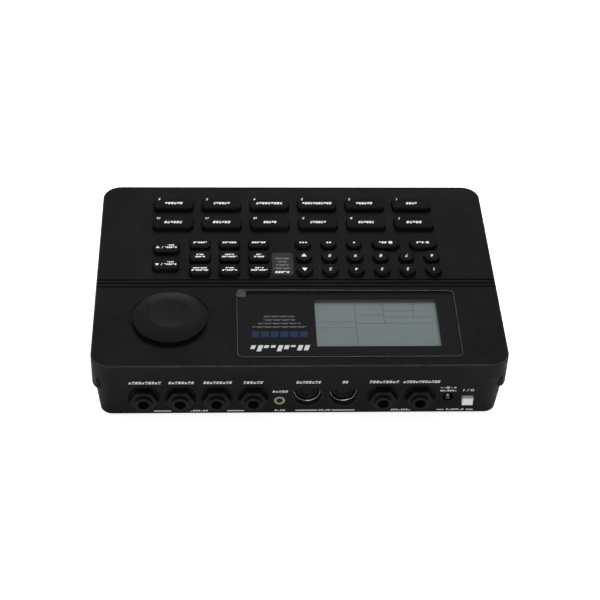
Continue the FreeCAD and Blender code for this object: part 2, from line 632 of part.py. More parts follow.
def lcd_bezel():
    """Frame on the panel board that holds the display glass under the window."""
    half_x, half_y = glass_half()
    top = PLATE_UNDER_Z - FLANGE_GAP
    wall = GLASS_GAP + BEZEL_WALL
    frame = rounded_block(half_x + wall, half_y + wall, BEZEL_WALL, BOARD_TOP_Z, top,
                          WINDOW_CENTRE_X, WINDOW_CENTRE_Y)
    pocket = rounded_block(half_x + GLASS_GAP, half_y + GLASS_GAP, GLASS_GAP,
                           BOARD_TOP_Z + BEZEL_LIP, top - BEZEL_LIP, WINDOW_CENTRE_X, WINDOW_CENTRE_Y)
    opening = rounded_block(WINDOW_WIDTH / 2 + BEZEL_OPENING_MARGIN, WINDOW_DEPTH / 2 + BEZEL_OPENING_MARGIN,
                            0.5, top - BEZEL_LIP - 1, top + 1, WINDOW_CENTRE_X, WINDOW_CENTRE_Y)
    ledge_x = half_x - GLASS_MARGIN
    ledge_y = half_y - GLASS_MARGIN
    below = rounded_block(ledge_x, ledge_y, 0.5, BOARD_TOP_Z - 1, top - BEZEL_LIP,
                          WINDOW_CENTRE_X, WINDOW_CENTRE_Y)
    return frame.cut([pocket, opening, below])


def revolved(points, x, y):
    """Solid of revolution about the upright line at x, y, from (radius, height) points."""
    corners = [V(x + r, y, z) for r, z in points]
    outline = Part.makePolygon(corners + corners[:1])
    return Part.Face(outline).revolve(V(x, y, 0), V(0, 0, 1), 360)


def knob_height(radius):
    """Height of the knob's sloping ring at a radius: a cone with a slight bulge."""
    low = TOP_Z + KNOB_GAP + KNOB_LIP
    high = TOP_Z + KNOB_RISE - KNOB_SHOULDER_DROP
    t = (KNOB_R - radius) / (KNOB_R - KNOB_SHOULDER_R)
    return low + (high - low) * t + 4 * KNOB_BULGE * t * (1 - t)


def hub_bottom_z():
    """Underside of the knob's hub, just clear of the recess floor and the bushing."""
    return TOP_Z - KNOB_RECESS_DEPTH + KNOB_HUB_CLEAR


def volume_knob():
    """Wide low knob with a sloping ring, a dished middle and a small pointer dent."""
    top = TOP_Z + KNOB_RISE
    low = TOP_Z + KNOB_GAP
    middle_r = (KNOB_R + KNOB_SHOULDER_R) / 2

    def at(r, z):
        return V(KNOB_X + r, KNOB_Y, z)

    edges = [
        Part.LineSegment(at(0, low), at(KNOB_R, low)).toShape(),
        Part.LineSegment(at(KNOB_R, low), at(KNOB_R, low + KNOB_LIP)).toShape(),
        Part.Arc(at(KNOB_R, low + KNOB_LIP), at(middle_r, knob_height(middle_r)),
                 at(KNOB_SHOULDER_R, top - KNOB_SHOULDER_DROP)).toShape(),
        Part.LineSegment(at(KNOB_SHOULDER_R, top - KNOB_SHOULDER_DROP), at(DISH_R, top)).toShape(),
        Part.LineSegment(at(DISH_R, top), at(0, top)).toShape(),
        Part.LineSegment(at(0, top), at(0, low)).toShape(),
    ]
    body = Part.Face(Part.Wire(edges)).revolve(V(KNOB_X, KNOB_Y, 0), V(0, 0, 1), 360)
    ball_r = (DISH_R ** 2 + DISH_DEPTH ** 2) / (2 * DISH_DEPTH)
    dish = Part.makeSphere(ball_r, V(KNOB_X, KNOB_Y, top - DISH_DEPTH + ball_r))
    ceiling = top - DISH_DEPTH - KNOB_ROOF
    rim_r = KNOB_R - KNOB_WALL
    hollow = revolved([(KNOB_HUB_R, low - 1), (rim_r, low - 1), (rim_r, low + KNOB_LIP / 2),
                       (KNOB_SHOULDER_R, ceiling), (KNOB_HUB_R, ceiling)], KNOB_X, KNOB_Y)
    hub = post(KNOB_X, KNOB_Y, hub_bottom_z(), low, KNOB_HUB_R)
    bore = post(KNOB_X, KNOB_Y, hub_bottom_z() - 1, hub_bottom_z() + SHAFT_ENGAGEMENT, SHAFT_R + PILOT_GAP)
    angle = math.radians(POINTER_ANGLE_DEG)
    cos_a, sin_a = math.cos(angle), math.sin(angle)
    tips = []
    for along, across in ((1.0, 0.0), (-0.5, 0.6), (-0.5, -0.6)):
        r = POINTER_R + along * POINTER_LENGTH / 2
        s = across * POINTER_LENGTH / 2
        tips.append(V(KNOB_X + r * cos_a - s * sin_a, KNOB_Y + r * sin_a + s * cos_a,
                      knob_height(POINTER_R) - POINTER_DEPTH))
    dent = Part.Face(Part.makePolygon(tips + tips[:1])).extrude(V(0, 0, KNOB_RISE))
    return joined([body.cut([dish, hollow, dent]), hub]).cut(bore)


def pot_bore_floor():
    """Height at which the pot's shaft bore begins."""
    return BOARD_TOP_Z + 1.0


def volume_shaft():
    """Shaft that turns in the pot and carries the knob."""
    return post(KNOB_X, KNOB_Y, pot_bore_floor() + FLANGE_GAP, hub_bottom_z() + SHAFT_ENGAGEMENT, SHAFT_R)


def volume_pot():
    """Rotary control on the panel board, with the bushing that guides its shaft."""
    half = POT_SIDE / 2
    body = box(KNOB_X - half, KNOB_X + half, KNOB_Y - half, KNOB_Y + half,
               BOARD_TOP_Z, PLATE_UNDER_Z - FLANGE_GAP)
    bushing_top = TOP_Z - KNOB_RECESS_DEPTH
    bushing = post(KNOB_X, KNOB_Y, BOARD_TOP_Z + 1, bushing_top, BUSHING_R)
    bore = post(KNOB_X, KNOB_Y, pot_bore_floor(), bushing_top + 1, SHAFT_R + SHAFT_RUNNING_GAP)
    return joined([body, bushing]).cut(bore)


def main_board():
    """Main circuit board with its chips, capacitors and the ribbon lead to the panel board."""
    x = MAIN_BOARD_HALF_X
    board = box(-x, x, MAIN_BOARD_FRONT_Y, MAIN_BOARD_REAR_Y, MAIN_BOARD_UNDER_Z, MAIN_BOARD_TOP)
    holes = [post(px, py, MAIN_BOARD_UNDER_Z - 1, MAIN_BOARD_TOP + 1, SCREW_SHANK_R + CLEAR_GAP)
             for px, py in standoff_places()]
    chips_y = MAIN_BOARD_FRONT_Y + CHIPS_FROM_EDGE
    parts = [board.cut(holes)]
    for cx, half_x, half_y in CHIPS:
        parts.append(box(cx - half_x, cx + half_x, chips_y - half_y, chips_y + half_y,
                         MAIN_BOARD_TOP, MAIN_BOARD_TOP + CHIP_HEIGHT))
    caps_y = RAIL_Y - JACK_BODY_DEPTH - CAPACITORS_FROM_JACKS
    for index in range(CAPACITOR_COUNT):
        x = CAPACITOR_FIRST_X + index * CAPACITOR_PITCH
        parts.append(post(x, caps_y, MAIN_BOARD_TOP, MAIN_BOARD_TOP + CAPACITOR_HEIGHT, CAPACITOR_R))
    return [joined(parts), ribbon_lead()]


def ribbon_lead():
    """Flat lead that bows forward between the two boards."""
    y = REAR_Y - RIBBON_FROM_REAR
    low, high = MAIN_BOARD_TOP, BOARD_UNDER_Z
    outer, inner = [], []
    radius = RIBBON_BEND_R
    for shift, points in ((0.0, outer), (RIBBON_THICKNESS, inner)):
        points.append(V(0, y + shift, low))
        points.append(V(0, y + shift, low + radius))
        points.append(V(0, y - radius + shift, (low + high) / 2))
        points.append(V(0, y + shift, high - radius))
        points.append(V(0, y + shift, high))
    edges = []
    for points in (outer, inner):
        edges.append(Part.LineSegment(points[0], points[1]).toShape())
        edges.append(Part.Arc(points[1], points[2], points[3]).toShape())
        edges.append(Part.LineSegment(points[3], points[4]).toShape())
    edges.append(Part.LineSegment(outer[0], inner[0]).toShape())
    edges.append(Part.LineSegment(outer[4], inner[4]).toShape())
    face = Part.Face(Part.Wire(Part.__sortEdges__(edges)))
    face.translate(V(-RIBBON_WIDTH / 2, 0, 0))
    return face.extrude(V(RIBBON_WIDTH, 0, 0))


def phone_jacks():
    """Quarter inch sockets: body behind the panel, threaded bushing and plug bore."""
    solids = []
    front = REAR_Y + JACK_BUSHING_OUT
    for x in JACK_XS:
        half = JACK_BODY_WIDTH / 2
        body = box(x - half, x + half, RAIL_Y - JACK_BODY_DEPTH, RAIL_Y,
                   MAIN_BOARD_TOP, JACK_AXIS_Z + JACK_BODY_ABOVE)
        bushing = rod(x, JACK_AXIS_Z, RAIL_Y - 1, front, JACK_BUSHING_R)
        rim = [e for e in bushing.Edges if abs(e.BoundBox.YMin - front) < 1e-4]
        bushing = bushing.makeChamfer(JACK_BUSHING_CHAMFER, rim)
        bore = rod(x, JACK_AXIS_Z, front - JACK_BORE_LENGTH, front + 1, JACK_BORE_R)
        solids.append(joined([body, bushing]).cut(bore))
    return solids


def jack_nuts():
    """Flanged hexagon nuts that clamp the sockets to the panel."""
    solids = []
    corner_r = NUT_ACROSS_FLATS / math.sqrt(3)
    for x in JACK_XS:
        corners = []
        for k in range(6):
            angle = math.radians(60 * k)
            corners.append(V(x + corner_r * math.cos(angle), WELL_Y, JACK_AXIS_Z + corner_r * math.sin(angle)))
        hexagon = Part.Face(Part.makePolygon(corners + corners[:1])).extrude(V(0, NUT_THICKNESS, 0))
        flange = rod(x, JACK_AXIS_Z, WELL_Y, WELL_Y + NUT_FLANGE_THICKNESS, NUT_FLANGE_R)
        thread = rod(x, JACK_AXIS_Z, WELL_Y - 1, WELL_Y + NUT_THICKNESS + 1, JACK_BUSHING_R + NUT_THREAD_GAP)
        solids.append(joined([hexagon, flange]).cut(thread))
    return solids


def tape_jack():
    """Small 3.5 mm socket with a round metal nose."""
    half = TAPE_BODY_WIDTH / 2
    front = REAR_Y - TAPE_NOSE_SETBACK
    body = box(TAPE_X - half, TAPE_X + half, RAIL_Y - TAPE_BODY_DEPTH, RAIL_Y,
               MAIN_BOARD_TOP, TAPE_AXIS_Z + half)
    nose = rod(TAPE_X, TAPE_AXIS_Z, RAIL_Y - 1, front, TAPE_NOSE_R)
    bore = rod(TAPE_X, TAPE_AXIS_Z, front - TAPE_BORE_LENGTH, front + 1, TAPE_BORE_R)
    return joined([body, nose]).cut(bore)


def midi_sockets():
    """Two five pin round sockets, each a shell with a stepped mouth round a pin insert."""
    solids = []
    front = REAR_Y - MIDI_COLLAR_SETBACK
    shield = front - MIDI_SHIELD_DROP
    face = shield - MIDI_INSERT_DROP
    seat = face - MIDI_SLOT_DEPTH
    for x in MIDI_X:
        body = box(x - MIDI_BODY_HALF, x + MIDI_BODY_HALF, RAIL_Y - MIDI_BODY_DEPTH, RAIL_Y,
                   MAIN_BOARD_TOP, MIDI_AXIS_Z + MIDI_BODY_HALF)
        collar = rod(x, MIDI_AXIS_Z, RAIL_Y - 0.5, front, MIDI_COLLAR_R)
        mouth = [rod(x, MIDI_AXIS_Z, shield, front + 1, MIDI_SHIELD_R),
                 rod(x, MIDI_AXIS_Z, seat, front + 1, MIDI_SLOT_OUTER_R)]
        solids.append(joined([body, collar]).cut(mouth))
        pins = []
        for pin in range(MIDI_PIN_COUNT):
            angle = math.radians(180 + 180 * pin / (MIDI_PIN_COUNT - 1))
            pins.append(rod(x + MIDI_PIN_CIRCLE_R * math.cos(angle),
                            MIDI_AXIS_Z + MIDI_PIN_CIRCLE_R * math.sin(angle),
                            seat + MIDI_INSERT_ROOT, face + 1, MIDI_PIN_HOLE_R))
        solids.append(rod(x, MIDI_AXIS_Z, seat, face, MIDI_INSERT_R).cut(pins))
    return solids


def power_inlet():
    """Low voltage inlet: a square block with a round mouth and a centre pin."""
    half = INLET_WIDTH / 2
    front = REAR_Y - INLET_SETBACK
    block = box(INLET_X - half, INLET_X + half, front - INLET_DEPTH, front, MAIN_BOARD_TOP, INLET_TOP_Z)
    mouth = rod(INLET_X, INLET_AXIS_Z, front - INLET_BORE_LENGTH, front + 1, INLET_BORE_R)
    back = front - INLET_BORE_LENGTH
    pin = rod(INLET_X, INLET_AXIS_Z, back - 1, back + INLET_PIN_LENGTH, INLET_PIN_R)
    return joined([block.cut(mouth), pin])


def button_front_y():
    """How far back the power button's face lies at rest."""
    return REAR_Y + BUTTON_OUT


def switch_front_y():
    """Front face of the power switch's body."""
    return REAR_Y - SWITCH_SETBACK


def power_button():
    """Square push button with a stem that enters the switch."""
    half_w = BUTTON_WIDTH / 2
    half_h = BUTTON_HEIGHT / 2
    back = switch_front_y() + BUTTON_TRAVEL + CLEAR_GAP
    front = button_front_y()
    cap = box(SWITCH_X - half_w, SWITCH_X + half_w, back, front, SWITCH_AXIS_Z - half_h, SWITCH_AXIS_Z + half_h)
    rim = [e for e in cap.Edges if abs(e.BoundBox.YMin - front) < 1e-4]
    cap = cap.makeFillet(KEY_EDGE_R, rim)
    half_s = BUTTON_STEM / 2
    stem = box(SWITCH_X - half_s, SWITCH_X + half_s, back - STEM_LENGTH, back,
               SWITCH_AXIS_Z - half_s, SWITCH_AXIS_Z + half_s)
    return joined([cap, stem])


def power_switch():
    """Push switch body on the main board, with the well that its stem runs in."""
    half = SWITCH_BODY_WIDTH / 2
    front = switch_front_y()
    body = box(SWITCH_X - half, SWITCH_X + half, front - SWITCH_BODY_DEPTH, front,
               MAIN_BOARD_TOP, SWITCH_AXIS_Z + half)
    half_s = BUTTON_STEM / 2 + STEM_GAP
    depth = STEM_LENGTH + CLEAR_GAP * 4
    well = box(SWITCH_X - half_s, SWITCH_X + half_s, front - depth, front + 1,
               SWITCH_AXIS_Z - half_s, SWITCH_AXIS_Z + half_s)
    return body.cut(well)


def export(name, shape):
    """Write one node in the object's frame, checked to be valid."""
    solid = Part.makeCompound(shape) if isinstance(shape, list) else shape
    solid = solid.translated(FRAME_SHIFT)
    if not solid.isValid():
        raise ValueError(f"{name} is not a valid shape")
    solid.exportStep(f"parts/{name}.step")


def main():
    os.makedirs("parts", exist_ok=True)
    for name, x, y, half_x, half_y, corner, rise, plungers in all_caps():
        export(name, cap_solid(x, y, half_x, half_y, corner, rise, plungers))
    for maker in (top_case, bottom_case, screws, rubber_feet, panel_board, keypad_mat, display_lens,
                  lcd_glass, lcd_bezel, volume_knob, volume_shaft, volume_pot, main_board,
                  phone_jacks, jack_nuts, tape_jack, midi_sockets, power_inlet, power_button,
                  power_switch):
        export(maker.__name__, maker())


main()
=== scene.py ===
# Looks of a desktop drum machine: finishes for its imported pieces, and its prints, contacts and film
import math

import bpy
import numpy as np
from bpy.props import FloatProperty, FloatVectorProperty, PointerProperty
from bpy.types import Operator, Panel, PropertyGroup
from mathutils import Matrix, Vector


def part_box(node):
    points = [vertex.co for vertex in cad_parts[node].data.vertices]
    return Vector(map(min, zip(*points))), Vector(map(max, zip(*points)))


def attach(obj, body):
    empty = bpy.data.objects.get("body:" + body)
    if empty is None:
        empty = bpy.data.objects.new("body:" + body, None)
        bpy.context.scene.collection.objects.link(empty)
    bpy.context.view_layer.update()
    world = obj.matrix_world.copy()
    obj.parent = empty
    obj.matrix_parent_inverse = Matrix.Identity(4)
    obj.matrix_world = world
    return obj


bl_info = {
    "name": "Drum machine looks",
    "version": (1, 0, 0),
    "blender": (4, 5, 0),
    "location": "View3D > Sidebar > Drum machine",
    "description": "Finishes, prints, contacts, window film and studio for a desktop drum machine",
    "category": "Object",
}

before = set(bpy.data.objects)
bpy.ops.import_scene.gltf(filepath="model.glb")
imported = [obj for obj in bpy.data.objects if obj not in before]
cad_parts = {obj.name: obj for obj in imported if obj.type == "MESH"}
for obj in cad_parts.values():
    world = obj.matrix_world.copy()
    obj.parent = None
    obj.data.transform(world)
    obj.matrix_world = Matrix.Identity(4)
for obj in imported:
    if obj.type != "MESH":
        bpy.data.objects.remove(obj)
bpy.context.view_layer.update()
MM = 0.001

PADS = [f"pad_{n}" for n in range(1, 13)]
DIGIT_KEYS = [f"key_{n}" for n in range(10)]
FUNCTION_KEYS = [f"function_key_{n}" for n in range(1, 10)]
TEMPO_KEYS = ["tempo_up_key", "tempo_down_key"]
ARROW_KEYS = ["arrow_up", "arrow_down"]
TRANSPORT_KEYS = ["play_key", "stop_key"]
PATTERN_KEYS = ["pattern_a_key", "pattern_b_key", "fill_key"]

# The case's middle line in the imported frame, and the rear wall's slope below the skirt
CASE_MIDDLE_Y = (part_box("top_case")[0].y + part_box("top_case")[1].y) / 2
PANEL_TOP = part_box("top_case")[1].z
SKIRT_BOTTOM = 33.0 * MM
WALL_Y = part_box("bottom_case")[1].y
WALL_SLOPE = math.tan(math.radians(5.3))

# Half a pixel of the 600 pixel picture, as a share of its width
HALF_PIXEL = 0.5 / 600


def from_case(points):
    """Points in millimetres from the case's middle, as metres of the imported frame."""
    return (points + np.array([0.0, CASE_MIDDLE_Y / MM, 0.0])) * MM


def at_case(x, y, z=0.0):
    """A point given in millimetres from the case's middle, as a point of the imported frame."""
    return Vector((x * MM, y * MM + CASE_MIDDLE_Y, z * MM))


# Finishes


class Shader:
    """A node tree under construction, with short calls for the few nodes that the finishes share."""

    def __init__(self, name, colour, roughness, specular=0.5):
        self.material = bpy.data.materials.new(name)
        self.material.use_nodes = True
        self.tree = self.material.node_tree
        self.surface = self.tree.nodes["Principled BSDF"]
        self.surface.inputs["Base Color"].default_value = (*colour, 1.0)
        self.surface.inputs["Roughness"].default_value = roughness
        self.surface.inputs["Specular IOR Level"].default_value = specular
        self.place = self.tree.nodes.new("ShaderNodeTexCoord").outputs["Object"]
        self.material.diffuse_color = (*colour, 1.0)

    def node(self, kind, **settings):
        """A new node with its settings."""
        made = self.tree.nodes.new(kind)
        for key, value in settings.items():
            setattr(made, key, value)
        return made

    def link(self, source, target):
        """Joins two sockets."""
        self.tree.links.new(source, target)

    def stretch(self, scale):
        """Object coordinates, multiplied along each axis."""
        mapping = self.node("ShaderNodeMapping")
        mapping.inputs["Scale"].default_value = scale
        self.link(self.place, mapping.inputs["Vector"])
        return mapping.outputs["Vector"]

    def noise(self, scale, detail=2.0, vector=None):
        """Noise on object coordinates, or on another vector."""
        texture = self.node("ShaderNodeTexNoise")
        texture.inputs["Scale"].default_value = scale
        texture.inputs["Detail"].default_value = detail
        self.link(vector or self.place, texture.inputs["Vector"])
        return texture.outputs["Fac"]

    def ranged(self, source, low, high, from_low=0.35, from_high=0.65):
        """Source stretched between two values and held there."""
        mapped = self.node("ShaderNodeMapRange")
        for key, value in (("From Min", from_low), ("From Max", from_high),
                           ("To Min", low), ("To Max", high)):
            mapped.inputs[key].default_value = value
        self.link(source, mapped.inputs["Value"])
        return mapped.outputs["Result"]

    def tint(self, source, dark, light):
        """Colour that runs from dark to light with the source."""
        ramp = self.node("ShaderNodeValToRGB")
        ramp.color_ramp.elements[0].color = (*dark, 1.0)
        ramp.color_ramp.elements[1].color = (*light, 1.0)
        self.link(source, ramp.inputs["Fac"])
        self.link(ramp.outputs["Color"], self.surface.inputs["Base Color"])

    def painted_rim_highlight(self, height, pale):
        """Painted highlight, made patchy by noise: paler colour where the face turns from level to upright,
        above a height.
        """
        facing = self.node("ShaderNodeSeparateXYZ")
        self.link(self.place.node.outputs["Normal"], facing.inputs["Vector"])
        place = self.node("ShaderNodeSeparateXYZ")
        self.link(self.place, place.inputs["Vector"])
        turned_in = self.ranged(facing.outputs["Z"], 0.0, 1.0, 0.25, 0.6)
        turned_out = self.ranged(facing.outputs["Z"], 1.0, 0.0, 0.88, 0.985)
        raised = self.ranged(place.outputs["Z"], 0.0, 1.0, height, height + 0.0002)
        share = self.times(self.times(turned_in, turned_out), raised)
        patchy = self.ranged(self.noise(260.0, 3.0), 0.55, 1.0)
        # Input 0 is the share, inputs 6 and 7 are the colours and output 2 is the mixed colour
        mix = self.node("ShaderNodeMix", data_type="RGBA")
        self.link(self.times(share, patchy), mix.inputs[0])
        self.link(self.surface.inputs["Base Color"].links[0].from_socket, mix.inputs[6])
        mix.inputs[7].default_value = (*pale, 1.0)
        self.link(mix.outputs[2], self.surface.inputs["Base Color"])

    def times(self, first, second):
        """Product of two values."""
        product = self.node("ShaderNodeMath", operation="MULTIPLY")
        self.link(first, product.inputs[0])
        self.link(second, product.inputs[1])
        return product.outputs[0]

    def relief(self, source, depth, strength=1.0):
        """Bump of a real depth in metres."""
        bump = self.node("ShaderNodeBump")
        bump.inputs["Distance"].default_value = depth
        bump.inputs["Strength"].default_value = strength
        self.link(source, bump.inputs["Height"])
        self.link(bump.outputs["Normal"], self.surface.inputs["Normal"])


def moulded(name, colour, roughness, grain_mm=0.35, depth_mm=0.02, spread=0.12, specular=0.5, rim=None):
    """Moulded plastic: fine spark grain, slow cloudy tone and a slightly uneven polish.

    rim is the height above which rounded outer edges get a paler colour as a painted highlight.
    """
    made = Shader(name, colour, roughness, specular)
    grain = made.noise(1.0 / (grain_mm * MM), 3.0)
    made.relief(grain, depth_mm * MM)
    cloud = made.noise(38.0, 3.0)
    dark = [c * (1 - spread) for c in colour]
    light = [c * (1 + spread) for c in colour]
    made.tint(made.ranged(cloud, 0.0, 1.0), dark, light)
    polish = made.noise(160.0, 4.0)
    made.link(made.ranged(polish, roughness - 0.05, roughness + 0.05), made.surface.inputs["Roughness"])
    # Painted highlight along the rounded outer edges above the rim height
    if rim is not None:
        made.painted_rim_highlight(rim, [c * 5.5 for c in colour])
    return made.material


def metal(name, colour, roughness, stretch=(1.0, 1.0, 1.0), lines=900.0, depth_mm=0.004):
    """Plated or turned metal: fine drawn lines, faint tarnish and an uneven polish."""
    made = Shader(name, colour, roughness)
    made.surface.inputs["Metallic"].default_value = 1.0
    drawn = made.noise(lines, 4.0, made.stretch(stretch))
    made.relief(drawn, depth_mm * MM)
    tarnish = made.noise(120.0, 3.0)
    made.tint(made.ranged(tarnish, 0.0, 1.0), [c * 0.82 for c in colour], colour)
    made.link(made.ranged(tarnish, roughness - 0.05, roughness + 0.08), made.surface.inputs["Roughness"])
    return made.material


def printed(name, colour):
    """Screen printed ink: slightly raised, thin and finely mottled."""
    made = Shader(name, colour, 0.6, 0.3)
    mottle = made.noise(4200.0, 2.0)
    made.tint(made.ranged(mottle, 0.0, 1.0), [c * 0.86 for c in colour], colour)
    made.relief(mottle, 0.006 * MM)
    return made.material


def window_sheet():
    """Clear hard sheet: mostly see through, with a faint grey body, a gloss and fine hairline marks."""
    made = Shader("clear_window_sheet", (0.012, 0.012, 0.013), 0.14, 0.4)
    made.surface.inputs["Alpha"].default_value = 0.22
    hairs = made.noise(700.0, 2.0, made.stretch((0.08, 1.0, 1.0)))
    made.relief(hairs, 0.0015 * MM)
    made.link(made.ranged(made.noise(60.0, 3.0), 0.10, 0.2), made.surface.inputs["Roughness"])
    return made.material


def protective_film():
    """Thin clear film: nearly invisible when flat, bright where it lifts and catches the light."""
    made = Shader("protective_film", (0.55, 0.56, 0.58), 0.22, 0.5)
    made.surface.inputs["Alpha"].default_value = 0.05
    ripple = made.noise(240.0, 2.0)
    made.relief(ripple, 0.02 * MM)
    made.link(made.ranged(ripple, 0.16, 0.34), made.surface.inputs["Roughness"])
    return made.material


def film_edge():
    """The film's cut edge, painted pale and finely speckled as a highlight where the edge catches the light.
    """
    made = Shader("film_edge_painted_highlight", (0.10, 0.10, 0.105), 0.4, 0.5)
    speck = made.noise(900.0, 3.0)
    made.tint(made.ranged(speck, 0.0, 1.0, 0.4, 0.75), (0.05, 0.05, 0.052), (0.16, 0.16, 0.165))
    made.relief(speck, 0.01 * MM)
    return made.material


def display_glass(colour):
    """Liquid crystal glass: grey green reflector with a fine silvery grain under a smooth face."""
    made = Shader("display_reflector", colour, 0.38, 0.4)
    grain = made.noise(5200.0, 2.0)
    made.tint(made.ranged(grain, 0.0, 1.0), [c * 0.9 for c in colour], [c * 1.06 for c in colour])
    made.relief(grain, 0.004 * MM)
    return made.material


def circuit_board():
    """Green solder mask with the pale tracks that show through it."""
    made = Shader("circuit_board", (0.012, 0.075, 0.03), 0.35)
    tracks = made.node("ShaderNodeTexBrick")
    for key, value in (("Scale", 160.0), ("Mortar Size", 0.03), ("Brick Width", 1.7), ("Row Height", 0.35)):
        tracks.inputs[key].default_value = value
    tracks.inputs["Color1"].default_value = (0.010, 0.070, 0.028, 1.0)
    tracks.inputs["Color2"].default_value = (0.014, 0.085, 0.034, 1.0)
    tracks.inputs["Mortar"].default_value = (0.03, 0.15, 0.06, 1.0)
    made.link(made.place, tracks.inputs["Vector"])
    made.link(tracks.outputs["Color"], made.surface.inputs["Base Color"])
    made.relief(tracks.outputs["Fac"], 0.01 * MM)
    return made.material


def dress(node, material):
    """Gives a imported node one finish."""
    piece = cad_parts[node]
    piece.data.materials.clear()
    piece.data.materials.append(material)


# Meshes


def gather(parts):
    """One vertex array and one face list from several, each part's faces counted on from the last's."""
    points, faces, start = [], [], 0
    for part_points, part_faces in parts:
        points.append(np.asarray(part_points, float))
        faces += [[int(i) + start for i in face] for face in part_faces]
        start += len(part_points)
    return np.concatenate(points), faces




def make_piece(name, points, faces, material, body, smooth=False):
    """A mesh object at the origin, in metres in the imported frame, that rides on a body."""
    mesh = bpy.data.meshes.new(name)
    mesh.from_pydata(np.asarray(points, float).tolist(), [], faces)
    mesh.update()
    mesh.validate()
    if smooth:
        mesh.shade_smooth()
    mesh.materials.append(material)
    piece = bpy.data.objects.new(name, mesh)
    bpy.context.scene.collection.objects.link(piece)
    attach(piece, body)
    return piece


def plates(outlines, thickness):
    """Flat plates: each counter-clockwise outline is lifted by the thickness and closed by side walls."""
    parts = []
    for outline in outlines:
        flat = np.asarray(outline, float)
        count = len(flat)
        low = np.c_[flat, np.zeros(count)]
        high = np.c_[flat, np.full(count, thickness)]
        ring = np.arange(count)
        after = np.roll(ring, -1)
        sides = np.c_[ring, after, after + count, ring + count].tolist()
        parts.append((np.r_[low, high], [(ring + count).tolist(), ring[::-1].tolist()] + sides))
    return gather(parts)


def swept(section, path, closed_path=True):
    """A closed section (across, up) carried along a path: rows of (x, y) points with their outward normals.

    Point (i, j) is path point i moved by section j's across along the normal, at section j's height.
    """
    path, normals = path
    across, up = np.asarray(section, float).T
    flat = path[:, None, :] + normals[:, None, :] * across[None, :, None]
    height = np.broadcast_to(up[None, :, None], flat.shape[:2] + (1,))
    grid = np.concatenate([flat, height], axis=2)
    return grid_faces(grid, closed_path, True)


def grid_faces(grid, closed_u, closed_v):
    """Quads between neighbouring points of a (u, v) grid, joined end to start where it is closed."""
    rows, columns = grid.shape[:2]
    index = np.arange(rows * columns).reshape(rows, columns)
    below = np.roll(index, -1, 0) if closed_u else index[1:]
    here = index if closed_u else index[:-1]
    if closed_v:
        quads = np.stack([here, below, np.roll(below, -1, 1), np.roll(here, -1, 1)], -1)
    else:
        quads = np.stack([here[:, :-1], below[:, :-1], below[:, 1:], here[:, 1:]], -1)
    return grid.reshape(-1, 3), quads.reshape(-1, 4).tolist()


def turned(section, steps=96):
    """A closed (radius, height) section turned about the z axis: x = r cos a, y = r sin a, z = h."""
    radius, height = np.asarray(section, float).T
    angle = np.linspace(0, 2 * np.pi, steps, endpoint=False)
    grid = np.stack([np.cos(angle)[:, None] * radius, np.sin(angle)[:, None] * radius,
                     np.broadcast_to(height, (steps, len(height)))], -1)
    points, faces = grid_faces(grid, True, True)
    return points, faces


def rounded_path(half_x, half_y, radius, corner_steps=10):
    """A rectangle with round corners, counter-clockwise, and its outward normals."""
    angle = np.concatenate([np.linspace(q, q + np.pi / 2, corner_steps) for q in np.arange(4) * np.pi / 2])
    normals = np.c_[np.cos(angle), np.sin(angle)]
    signs = np.repeat(np.array([(1, 1), (-1, 1), (-1, -1), (1, -1)], float), corner_steps, 0)
    corners = signs * (half_x - radius, half_y - radius)
    return corners + normals * radius, normals


# Flat marks: outlines in millimetres, u to the reader's right and v up


def block(u, v, width, height, slant=0.22):
    """Slanted block about a centre: u moves on by slant times v."""
    half_w, half_h, lean = width / 2, height / 2, slant * height / 2
    return np.array([(u - half_w - lean, v - half_h), (u + half_w - lean, v - half_h),
                     (u + half_w + lean, v + half_h), (u - half_w + lean, v + half_h)])


def disc(u, v, radius, steps=20):
    """Round dot."""
    angle = np.linspace(0, 2 * np.pi, steps, endpoint=False)
    return np.c_[u + radius * np.cos(angle), v + radius * np.sin(angle)]


def arc_band(u, v, radius, width, start=0.0, end=360.0, steps=20):
    """A band along an arc, as a chain of four sided outlines."""
    angle = np.radians(np.linspace(start, end, steps + 1))
    ray = np.c_[np.cos(angle), np.sin(angle)]
    inner = ray * (radius - width / 2) + (u, v)
    outer = ray * (radius + width / 2) + (u, v)
    return [np.array([inner[i], outer[i], outer[i + 1], inner[i + 1]]) for i in range(steps)]


def triangle(u, v, size, turn):
    """Triangle that points along an angle in degrees, 90 being up."""
    angle = np.radians(turn + np.array([0, 120, 240]))
    return np.c_[u + size * np.cos(angle), v + size * np.sin(angle) * 1.0]


def step_motif(u, v, width, height, steps, rows=2, phase=0):
    """A rhythm pattern: rows of slanted steps, of which a fixed rule leaves some half height.

    Step k of row r is full where (3k + 5r + phase) mod 4 isn't 0, and is a low dash otherwise.
    """
    pitch = width / steps
    row_height = height / rows
    made = []
    for row in range(rows):
        level = v + height / 2 - row_height * (row + 0.5)
        for step in range(steps):
            full = (3 * step + 5 * row + phase) % 4 != 0
            tall = row_height * (0.78 if full else 0.32)
            centre = u - width / 2 + pitch * (step + 0.5) + 0.22 * (level - v)
            drop = 0.0 if full else -row_height * 0.23
            made.append(block(centre, level + drop, pitch * 0.74, tall))
    return made


